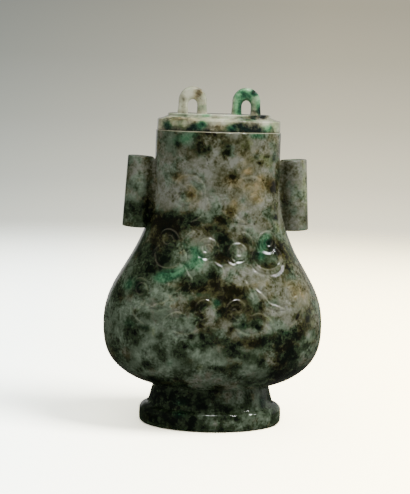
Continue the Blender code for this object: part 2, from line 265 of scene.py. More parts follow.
def stroke(points, width=1.3, ends=(0.3, 0.3)):
    """A band along a smooth line through the points (x, z), a Catmull-Rom curve, that
    tapers to the shares ends of its half-width at its two ends."""
    points = np.array(points, float)
    middle = points[len(points) // 2].copy()
    knots = np.vstack([2 * points[0] - points[1], points, 2 * points[-1] - points[-2]])
    t = np.linspace(0.0, 1.0, 14, endpoint=False)[:, None]
    parts = []
    for a, b, c, d in zip(knots, knots[1:], knots[2:], knots[3:]):
        parts.append(0.5 * (2 * b + (c - a) * t + (2 * a - 5 * b + 4 * c - d) * t**2
                            + (3 * b - a - 3 * c + d) * t**3))
    line = np.vstack(parts + [points[-1:]]) - middle
    t = np.linspace(0.0, 1.0, len(line))
    half = width * np.minimum(mix(ends[0], 1.0, smooth_step(0.0, 0.25, t)),
                              mix(ends[1], 1.0, smooth_step(0.0, 0.25, 1.0 - t)))
    return tuple(middle), np.column_stack([line, half])


def mirrored(bands, middle=0.0):
    """The same bands on the other side of the upright line x = middle."""
    return [((2.0 * middle - x, z), line * np.array([-1.0, 1.0, 1.0])) for (x, z), line in bands]


def front_bands():
    """The front's ornament: a pair of scrolls on the neck, round eye bosses with trailing
    comma scrolls on the shoulder, a pair of inner volutes between them, a second pair on the
    belly, an end ring on each flank, and short cloud strokes that join them."""
    right = [
        # neck scroll
        spiral(17.0, 125.4, 9.4, 2.4, 190, -480),
        stroke([(6.6, 122.5), (6.2, 117.0), (9.5, 112.0), (14.5, 110.2)], 1.2),
        # eye boss and the comma scroll under it
        spiral(26.2, 100.6, 5.6, 1.9, 215, -450),
        stroke([(18.6, 98.0), (17.2, 92.5), (20.6, 87.6), (27.2, 86.0), (32.6, 88.0),
                (34.4, 93.4), (31.6, 97.6)], 1.15),
        stroke([(12.0, 105.6), (15.6, 103.4), (17.6, 99.6)], 1.1),
        # flank ring
        spiral(39.6, 75.2, 5.2, 1.7, 120, -470),
        stroke([(35.2, 67.2), (31.0, 68.0), (26.6, 69.4), (22.8, 73.6), (19.4, 77.4)], 1.2),
        stroke([(16.4, 64.2), (21.6, 64.4), (26.4, 61.6), (29.4, 57.2)], 1.2),
        stroke([(36.0, 57.0), (39.2, 58.4), (43.6, 61.8), (45.4, 66.6)], 1.1),
        stroke([(9.2, 57.4), (13.0, 54.4), (18.6, 53.6), (23.0, 55.6)], 1.1),
        stroke([(14.0, 81.6), (14.8, 77.4), (17.8, 73.2)], 1.1),
    ]
    left = mirrored(right)
    # the inner volutes sit a little to one side, as the hand-cut work has them
    volutes = [
        spiral(-6.1, 97.0, 5.6, 1.7, 300, 470),
        spiral(10.2, 95.4, 4.8, 1.6, 240, -460),
        spiral(-7.6, 67.2, 5.6, 1.7, 250, 450),
        spiral(9.7, 67.4, 5.6, 1.7, 290, -450),
        stroke([(-17.6, 88.4), (-16.2, 84.6), (-14.2, 81.4), (-15.4, 77.0)], 0.7),
        stroke([(-1.6, 90.4), (1.6, 86.6), (0.6, 80.6), (1.6, 75.0), (1.0, 70.8)], 1.1),
    ]
    return right + left[:-1] + volutes


def back_bands():
    """The back's plainer ornament: one pair of large scrolls joined by a long swag."""
    right = [spiral(20.0, 92.0, 10.0, 3.2, 200, -480, 2.0),
             spiral(27.0, 68.0, 8.4, 3.0, 120, -420, 2.0),
             stroke([(0.0, 80.0), (6.0, 74.0), (12.0, 65.0), (20.0, 57.5)], 1.9),
             stroke([(3.0, 118.0), (10.0, 111.0), (22.0, 112.0), (27.0, 119.0)], 1.8)]
    return right + mirrored(right)


def band_distance(along, height, bands, centre_along):
    """Signed distance from each surface point to the nearest band's edge, negative inside.
    Points are compared in a flat map of the surface: arc length along the section from the
    middle line, and height. For each short piece of a band's line the nearest point is the
    clipped projection, and the band's half-width there is taken off. Points farther than
    reach from the box round a band are passed over."""
    far, reach = 99.0, 6.0
    nearest = np.full(along.shape, far)
    for (x, z), line in bands:
        centre = centre_along(x, z)
        start, end = line[:-1], line[1:]
        low = line[:, :2].min(axis=0) - reach
        high = line[:, :2].max(axis=0) + reach
        u, v = along - centre, height - z
        near = (u > low[0]) & (u < high[0]) & (v > low[1]) & (v < high[1])
        p = np.stack([u[near], v[near]], axis=1)[:, None, :]
        run = (end - start)[None, :, :2]
        t = np.sum((p - start[None, :, :2]) * run, axis=2) / np.sum(run * run, axis=2)
        t = np.clip(t, 0.0, 1.0)
        foot = start[None, :, :2] + t[:, :, None] * run
        half = mix(start[None, :, 2], end[None, :, 2], t)
        gap = np.linalg.norm(p - foot, axis=2) - half
        nearest[near] = np.minimum(nearest[near], gap.min(axis=1))
    return nearest


def carved(points, bands, side, wall):
    """How deep each point of the outer grid is cut, and how strong the painted highlight on a
    band's crest is there, both from 0 to 1. side is -1 for the front and 1 for the back. The
    cut drops over the width wall at a band's edge and rises again over GROUND_WIDTH, so that
    the band stands level with the old surface. The crest's painted highlight is a bell curve
    across the band's edge, and fainter where the edge faces down."""
    columns = points.shape[1]
    middle = 3 * columns // 4 if side < 0 else columns // 4
    quarter = columns // 4 - 2
    order = np.arange(middle - quarter, middle + quarter + 1) % columns
    part = points[:, order]
    step = np.linalg.norm(np.diff(part[:, :, :2], axis=1), axis=2)
    along = np.concatenate([np.zeros((len(part), 1)), np.cumsum(step, axis=1)], axis=1)
    along = (along - along[:, quarter:quarter + 1]) * -side
    height = part[:, :, 2]

    def centre_along(x, z):
        row = int(np.argmin(np.abs(height[:, quarter] - z)))
        line = np.argsort(part[row, :, 0])
        return np.interp(x, part[row, line, 0], along[row, line])

    gap = band_distance(along, height, bands, centre_along)
    rise = np.clip(1.0 - (gap - wall - WALL_START) / GROUND_WIDTH, 0.0, 1.0) ** 2
    shallow = mix(1.0, NECK_SHARE, smooth_step(NECK_LOW, NECK_HIGH, height))
    # painted highlight: a crest is painted paler where the band's edge faces up, towards the lights
    upward = np.gradient(gap, axis=0) / np.maximum(np.gradient(height, axis=0), 0.01)
    light = mix(CREST_HIGHLIGHT_BELOW, 1.0, smooth_step(-0.1, 0.9, upward))
    depth, crest = np.zeros(points.shape[:2]), np.zeros(points.shape[:2])
    depth[:, order] = smooth_step(WALL_START, wall + WALL_START, gap) * rise * shallow
    crest[:, order] = np.exp(-((gap - CREST_PLACE) / CREST_WIDTH) ** 2) * light
    return depth, crest


def hand_ground(points):
    """Slight waves left by grinding and polishing by hand, from 0 to GRINDING_DEPTH deep: a
    sum of three slow sines along slanted directions."""
    x, y, z = points[..., 0], points[..., 1], points[..., 2]
    wave = (np.sin(0.21 * x + 0.13 * z + 1.0) + np.sin(-0.17 * x + 0.24 * z + 0.3 * y)
            + np.sin(0.33 * x - 0.29 * z + 0.2 * y + 2.0))
    return 0.5 * GRINDING_DEPTH * (1.0 + wave / 3.0)


# ---- meshes -------------------------------------------------------------------------------
def new_mesh(name, vertices, faces):
    """An object at the origin from points in millimetres and lists of corner numbers."""
    mesh = bpy.data.meshes.new(name)
    mesh.from_pydata((np.asarray(vertices) * MM).tolist(), [], faces)
    mesh.validate()
    thing = bpy.data.objects.new(name, mesh)
    bpy.context.scene.collection.objects.link(thing)
    return thing


def quads(ids, closed=True):
    """Faces between neighbouring rows and columns of a grid of point numbers, facing outward
    where the columns run anticlockwise and the rows run up."""
    right = np.roll(ids, -1, axis=1) if closed else ids[:, 1:]
    left = ids if closed else ids[:, :-1]
    return np.stack([left[:-1], right[:-1], right[1:], left[1:]], axis=2).reshape(-1, 4).tolist()


def numbered(grid):
    """The number of each point of a grid, row by row."""
    return np.arange(grid.shape[0] * grid.shape[1]).reshape(grid.shape[:2])


def stitch(fine, coarse, up):
    """Flat faces between a ring of many points and a ring of fewer, each coarse step taking
    the run of fine steps beside it. up says that the coarse ring comes after the fine one."""
    share = len(fine) // len(coarse)
    faces = []
    for i, corner in enumerate(coarse):
        following = coarse[(i + 1) % len(coarse)]
        run = [fine[(i * share + k) % len(fine)] for k in range(share + 1)]
        faces.append(run + [following, corner] if up else run[::-1] + [corner, following])
    return faces


def cap(ring, centre, up):
    """Triangles from a closed ring to one middle point."""
    following = np.roll(ring, -1)
    middle = np.full(len(ring), centre)
    order = [ring, following, middle] if up else [following, ring, middle]
    return np.stack(order, axis=1).tolist()


def closed_grid(name, grid, ends):
    """A closed mesh from a grid of rings and the middle points of its first and last ring."""
    ids = numbered(grid)
    faces = quads(ids) + cap(ids[0], ids.size, False) + cap(ids[-1], ids.size + 1, True)
    return new_mesh(name, np.vstack([grid.reshape(-1, 3), ends]), faces)


def outside_spacing(z):
    """Distance wanted between the rows at height z: closest at the foot's steps and the rim."""
    spacing = np.where(z < BAND_HEIGHT + 1.0, 0.75, 1.35)
    spacing = np.where(np.abs(z - FOOT_TOP) < 1.2, 0.6, spacing)
    spacing = np.where(z > FIELD_LOW, 1.0, spacing)
    spacing = np.where(z > FIELD_HIGH, 1.5, spacing)
    return np.where(z > RIM_HEIGHT - 1.2, 0.28, spacing)


def outer_rows():
    """The outside's rows as (half-width, height, inset), from the standing ring to the rim."""
    path = evened(outer_path(), outside_spacing, POLISH_SOFTNESS)
    path[0] = (BAND_HALF_WIDTH, 0.0, BAND_TOE)
    path[-1] = (RIM_HALF_WIDTH, RIM_HEIGHT, SOFT_EDGE)
    path[:, 1] = np.clip(path[:, 1], 0.0, RIM_HEIGHT)
    return path


def outer_grid(path):
    """The outside as a grid of ovals, with one more row and column between each two, moved in
    by the carving and the grinding. Also each point's painted highlight on a carved crest."""
    rows = np.arange(len(path))
    between = np.arange(0.0, len(path) - 0.75, 0.5)
    fine_path = np.column_stack([np.interp(between, rows, path[:, k]) for k in range(3)])
    turn = even_turns(COLUMNS)
    turn = np.column_stack([turn, 0.5 * (turn + np.append(turn[1:], 2.0 * math.pi))]).ravel()
    grid = body_rings(fine_path[:, 0], fine_path[:, 1], fine_path[:, 2], turn)

    front_cut, front_crest_highlight = carved(grid, front_bands(), -1, FRONT_WALL)
    back_cut, back_crest_highlight = carved(grid, back_bands(), 1, BACK_WALL)
    height = grid[:, :, 2]
    field = smooth_step(FIELD_LOW, FIELD_LOW + 3.0, height) * (
        1.0 - smooth_step(FIELD_HIGH - 1.5, FIELD_HIGH, height))
    cut = np.maximum(front_cut, BACK_SHARE * back_cut) * field
    # painted highlight on the carved crests, front and back
    crest = np.maximum(front_crest_highlight, BACK_CREST_HIGHLIGHT * back_crest_highlight) * field
    ends = smooth_step(0.0, 2.5, height) * (1.0 - smooth_step(RIM_HEIGHT - 2.0, RIM_HEIGHT, height))
    depth = CARVING_DEPTH * cut + hand_ground(grid) * ends
    return grid - grid_normals(grid) * depth[:, :, None], crest


def outer_faces(path, shape):
    """Faces of the outer grid of the given shape, the number of each point in use and which
    are in use. The carved field uses every row and column, and the rest every second one. A
    face beside the field takes the extra point on its edge."""
    first = int(np.argmax(path[:, 1] > FIELD_LOW)) - 1
    last = int(np.argmax(path[:, 1] > FIELD_HIGH))
    front = 3 * COLUMNS // 4
    left, right = front - FIELD_COLUMNS, front + FIELD_COLUMNS
    kept = np.zeros(shape, bool)
    kept[::2, ::2] = True
    kept[2 * first:2 * last + 1, 2 * left:2 * right + 1] = True
    ids = np.full(shape, -1)
    ids[kept] = np.arange(kept.sum())

    row, column = np.meshgrid(np.arange(len(path) - 1), np.arange(COLUMNS), indexing="ij")
    field_rows = (row >= first) & (row < last)
    field_columns = (column >= left) & (column < right)
    # each kind of coarse face, and where its extra point comes: (place in the loop, point)
    beside = [((row == first - 1) & field_columns, (3, (2, 1))),
              ((row == last) & field_columns, (1, (0, 1))),
              ((column == left - 1) & field_rows, (2, (1, 2))),
              ((column == right) & field_rows, (4, (1, 0)))]
    plain = ~((field_rows & field_columns) | np.any([where for where, _ in beside], axis=0))

    faces = quads(ids[2 * first:2 * last + 1, 2 * left:2 * right + 1], closed=False)
    for where, extra in [(plain, None)] + beside:
        i, j = 2 * row[where], 2 * column[where]
        loop = [(0, 0), (0, 2), (2, 2), (2, 0)]
        if extra:
            loop.insert(*extra)
        faces += np.stack([ids[i + a, (j + b) % shape[1]] for a, b in loop], axis=1).tolist()
    return faces, ids, kept


def hollow_rings(turn):
    """The hollow's ovals, from the flat of the rim down to the floor."""
    path = inner_path()
    mouth = body_rings([RIM_HALF_WIDTH], [RIM_HEIGHT], [WALL - SOFT_EDGE], turn)
    return np.vstack([mouth, body_rings(path[1:, 0], path[1:, 1], path[1:, 2], turn)])


def recess_rings(turn):
    """The recess's ovals under the foot, from the standing ring up, with soft corners."""
    inset = RING_WIDTH + BAND_TOE
    heights = [0.0, 0.12, SOFT_EDGE, 6.0, RECESS_DEPTH - SOFT_EDGE, RECESS_DEPTH - 0.15,
               RECESS_DEPTH]
    soft = np.array([1.0, 0.45, 0.0, 0.0, 0.0, -0.55, -1.4])
    return body_rings(np.full(7, BAND_HALF_WIDTH), heights, inset - SOFT_EDGE * soft, turn)


def jar_surface():
    """The jar without its handles: points, faces and each point's painted highlight on a carved
    crest. The hollow and the recess have fewer columns than the outside, and are stitched to it."""
    path = outer_rows()
    grid, crest = outer_grid(path)
    faces, ids, kept = outer_faces(path, grid.shape[:2])
    outside = grid[kept]
    few = even_turns(INNER_COLUMNS)
    inner, under = hollow_rings(few), recess_rings(few)
    middles = np.array([[0.0, 0.0, inner[-1, 0, 2]], [0.0, 0.0, RECESS_DEPTH]])
    points = np.vstack([outside, inner.reshape(-1, 3), under.reshape(-1, 3), middles])

    inner_ids = len(outside) + numbered(inner)
    under_ids = inner_ids[-1, -1] + 1 + numbered(under)
    floor_middle = len(points) - 2
    faces += stitch(ids[-1, ::2].tolist(), inner_ids[0].tolist(), True)
    faces += quads(inner_ids)
    faces += cap(inner_ids[-1], floor_middle, True)
    faces += stitch(ids[0, ::2].tolist(), under_ids[0].tolist(), False)
    faces += [face[::-1] for face in quads(under_ids)]
    faces += cap(under_ids[-1], floor_middle + 1, False)
    crests = np.concatenate([crest[kept], np.zeros(len(points) - len(outside))])
    return points, faces, crests


def handle(side):
    """A tube handle with its web, cut from one keyhole-shaped section: a circle joined to the
    web by hollow fillets, carried along the leaning axis. The grid runs up the bore, out over
    the top, down the outside and back in under the foot, so that it closes on itself."""
    half_web, fillet, web_step = 0.5 * WEB_THICKNESS, 2.4, 1.5
    reach = TUBE_OFFSET - WEB_INNER
    # where the fillet circle touches the tube, from the triangle of the two centres
    centre_y = half_web + fillet
    centre_x = math.sqrt((TUBE_RADIUS + fillet) ** 2 - centre_y ** 2)
    touch = math.atan2(centre_y, centre_x)
    rounds = np.linspace(math.pi, touch, 30)                    # half of the tube's circle
    sweep = np.linspace(math.pi + touch, 1.5 * math.pi, 8)[1:]  # the fillet
    half = np.vstack([
        np.column_stack([TUBE_RADIUS * np.cos(rounds), TUBE_RADIUS * np.sin(rounds)]),
        np.column_stack([centre_x + fillet * np.cos(sweep), centre_y + fillet * np.sin(sweep)]),
        [[0.5 * (centre_x + reach), half_web], [reach, half_web], [reach, 0.5 * half_web]]])
    outline = np.vstack([half, [[reach, 0.0]], (half * [1.0, -1.0])[:0:-1]])
    # the web's ends lie web_step lower than the tube's
    radius = np.linalg.norm(outline, axis=1)
    short = web_step * smooth_step(TUBE_RADIUS + 0.4, TUBE_RADIUS + 2.4, radius)
    facing = np.arctan2(outline[:, 1], outline[:, 0])
    bore = TUBE_BORE * np.column_stack([np.cos(facing), np.sin(facing)])
    # each row is how far it lies from the bore to the outline, and its height past the end:
    # the soft edges on top, the rows down the outside, the soft edges below, and the bore's
    quarter = np.linspace(0.0, 0.5 * math.pi, 5)
    run, drop = 1.0 - np.cos(quarter), 1.0 - np.sin(quarter)
    soft = SOFT_EDGE / (TUBE_RADIUS - TUBE_BORE)
    share = np.concatenate([soft * run, 1.0 - soft * drop])
    level = -SOFT_EDGE * np.concatenate([drop, run])
    between = np.linspace(0.0, 1.0, 14)[1:-1]
    still, whole = np.zeros(len(between)), np.ones(len(share))
    rows_share = np.concatenate([share, still + 1.0, share[::-1], still])
    rows_height = np.concatenate([level, still, level[::-1], still])
    sign = np.concatenate([whole, 1.0 - 2.0 * between, -whole, 2.0 * between - 1.0])
    lowered = (0.5 * TUBE_LENGTH - rows_share[:, None] * short[None, :]) * sign[:, None]
    z = lowered + rows_height[:, None] * np.sign(sign)[:, None]
    flat = mix(bore[None], outline[None], rows_share[:, None, None])
    along = -side * flat[:, :, 0]
    points = np.stack([
        side * TUBE_OFFSET + along * math.cos(TUBE_LEAN) - side * z * math.sin(TUBE_LEAN),
        flat[:, :, 1] * np.ones_like(z),
        TUBE_MIDDLE + side * along * math.sin(TUBE_LEAN) + z * math.cos(TUBE_LEAN)], axis=2)
    ids = numbered(points)
    faces = quads(np.vstack([ids, ids[:1]]))
    thing = new_mesh("handle", points.reshape(-1, 3), faces)
    face_outward(thing)
    return thing


def face_outward(thing):
    """Turns every face of a closed mesh the same way, and outward by the sign of its volume."""
    bm = bmesh.new()
    bm.from_mesh(thing.data)
    bmesh.ops.recalc_face_normals(bm, faces=bm.faces)
    if bm.calc_volume(signed=True) < 0.0:
        bmesh.ops.reverse_faces(bm, faces=bm.faces)
    bm.to_mesh(thing.data)
    bm.free()


def united(thing, others):
    """Unites closed meshes into the first one and removes the rest."""
    for other in others:
        modifier = thing.modifiers.new("union", "BOOLEAN")
        modifier.operation = "UNION"
        modifier.solver = "MANIFOLD"
        modifier.object = other
    bpy.context.view_layer.update()
    graph = bpy.context.evaluated_depsgraph_get()
    mesh = bpy.data.meshes.new_from_object(thing.evaluated_get(graph))
    thing.modifiers.clear()
    thing.data = mesh
    for other in others:
        bpy.data.objects.remove(other, do_unlink=True)


def make_jar():
    """The carved jar with its two handles, which keeps each point's painted highlight on a carved
    crest.
    """
    points, faces, crests = jar_surface()
    jar = new_mesh("carved_jar", points, faces)
    crest = jar.data.attributes.new("crest", "FLOAT", "POINT")
    crest.data.foreach_set("value", crests.astype(np.float32))
    united(jar, [handle(-1), handle(1)])
    return jar


# ---- lid ----------------------------------------------------------------------------------
def lid_path():
    """Height and inset of the lid's side from the plug's underside up to the platform."""
    plug = LID_HALF_WIDTH - (RIM_HALF_WIDTH - WALL - PLUG_CLEARANCE)
    tier_top = LID_BASE + LID_SIDE
    foot = LID_BASE - PLUG_DEPTH
    neck, edge = 0.35, 0.7          # height of the tier's soft foot; the platform's edge
    turn = np.linspace(0.0, 0.5 * math.pi, 8)

    def rounded(top, inset, radius):
        """An upper edge rounded by a quarter circle, up to the flat on top."""
        return [(top - radius * (1.0 - s), inset + radius * (1.0 - c))
                for s, c in zip(np.sin(turn), np.cos(turn))]

    rows = [(foot, plug + SOFT_EDGE), (foot + 0.15, plug + 0.25), (foot + SOFT_EDGE, plug),
            (LID_BASE - 2.0, plug), (LID_BASE, plug), (LID_BASE, 0.45), (LID_BASE + 0.1, 0.15),
            (LID_BASE + neck, 0.0)]
    rows += [(LID_BASE + neck + t * (LID_SIDE - LID_SHOULDER - neck), 0.0)
             for t in (0.25, 0.5, 0.75)]
    rows += rounded(tier_top, 0.0, LID_SHOULDER)
    rows += [(tier_top + LID_RISE * t ** 1.3, mix(LID_SHOULDER, LEDGE_WIDTH - 0.5, t))
             for t in (0.2, 0.4, 0.6, 0.8, 0.95)]
    base = tier_top + LID_RISE
    rows += [(base + 0.12, LEDGE_WIDTH - 0.1), (base + 0.5, LEDGE_WIDTH)]
    rows += rounded(PLATFORM_TOP, LEDGE_WIDTH, edge)
    rows += [(PLATFORM_TOP, LEDGE_WIDTH + step) for step in (2.0, 4.0, 6.5, 9.0)]
    return np.array(rows)


def make_loop(side):
    """A pierced loop: a rounded bar carried up one leg, over a round arch and down the other.
    The section is a superellipse between the hole's outline and the loop's outline."""
    leg = 0.32                 # share of the way that each leg takes
    stretch = 1.25             # how much taller than round the hole's arch is
    narrowing = 0.86           # the hole's width at its foot beside its widest
    square = 3.2               # exponent of the bar's section
    t = np.linspace(-1.0, 1.0, 73)
    side_of = np.sign(t)
    arch = np.clip(np.abs(t) / (1.0 - leg), 0.0, 1.0) * 0.5 * math.pi
    down = np.clip((np.abs(t) - (1.0 - leg)) / leg, 0.0, 1.0)
    foot = PLATFORM_TOP - LOOP_ROOT
    outer_spring = OVERALL_HEIGHT - LOOP_HALF_WIDTH
    inner_spring = PLATFORM_TOP + LOOP_HOLE_HEIGHT - LOOP_HOLE_HALF_WIDTH * stretch
    outer = np.column_stack([
        side_of * mix(LOOP_HALF_WIDTH * np.sin(arch), LOOP_FOOT_HALF_WIDTH, down ** 1.6),
        mix(outer_spring + LOOP_HALF_WIDTH * np.cos(arch), foot, down)])
    inner = np.column_stack([
        side_of * LOOP_HOLE_HALF_WIDTH * mix(np.sin(arch), narrowing, down ** 2.0),
        mix(inner_spring + stretch * LOOP_HOLE_HALF_WIDTH * np.cos(arch), foot, down)])
    turn = np.linspace(0.0, 2.0 * math.pi, 32, endpoint=False)
    across, thick = oval(1.0, 0.5 * LOOP_THICKNESS, square, turn)
    middle, reach = 0.5 * (outer + inner), 0.5 * (outer - inner)
    flat = middle[:, None, :] + reach[:, None, :] * across[None, :, None]
    x = side * LOOP_OFFSET + flat[:, :, 0]
    y = np.broadcast_to(thick[None, :], x.shape)
    points = np.stack([x, y, flat[:, :, 1]], axis=2)
    ends = np.stack([points[0].mean(axis=0), points[-1].mean(axis=0)])
    thing = closed_grid("loop", points, ends)
    face_outward(thing)
    return thing


def make_lid():
    """The lid's ovals from the plug to the platform, closed at both ends, with two loops.
    Its waves of grinding lie a little closer together than the jar's."""
    turn = even_turns(LID_COLUMNS)
    path = lid_path()
    grid = lid_rings(path[:, 0], path[:, 1], turn)
    on_top = smooth_step(LID_BASE + 0.3, LID_BASE + 2.0, grid[:, :, 2])
    grid = grid - grid_normals(grid) * (hand_ground(grid * 1.3) * on_top)[:, :, None]
    ends = np.array([[0.0, 0.0, path[0, 0]], [0.0, 0.0, grid[-1, :, 2].mean()]])
    lid = closed_grid("carved_lid", grid, ends)
    united(lid, [make_loop(-1), make_loop(1)])
    return lid


# ---- stains in the stone, with a little painted shade and painted highlight -----------------
CREST_HIGHLIGHT = 0.19       # paleness of the painted highlight on a carved crest, beside the rim's
STAIN_FALL = 1.1         # how steeply a stain fades with the square of the distance
STAIN_LIMIT = 1.15       # where the sum of stains levels off
BACK_STRENGTH = 0.8      # the back's copy of a stain beside the front's
THIN_DEPTH = 10.0        # a surface nearer to the middle than this has no copy at the back
STAIN_THICKNESS = 0.6    # a stain's half-depth beside its half-width plus half-height,
STAIN_LEAST_DEPTH = 5.0  # and what it has beyond that
LOOP_DEPTH, TIER_DEPTH = 3.0, 18.0       # how far in front the lid's stains lie

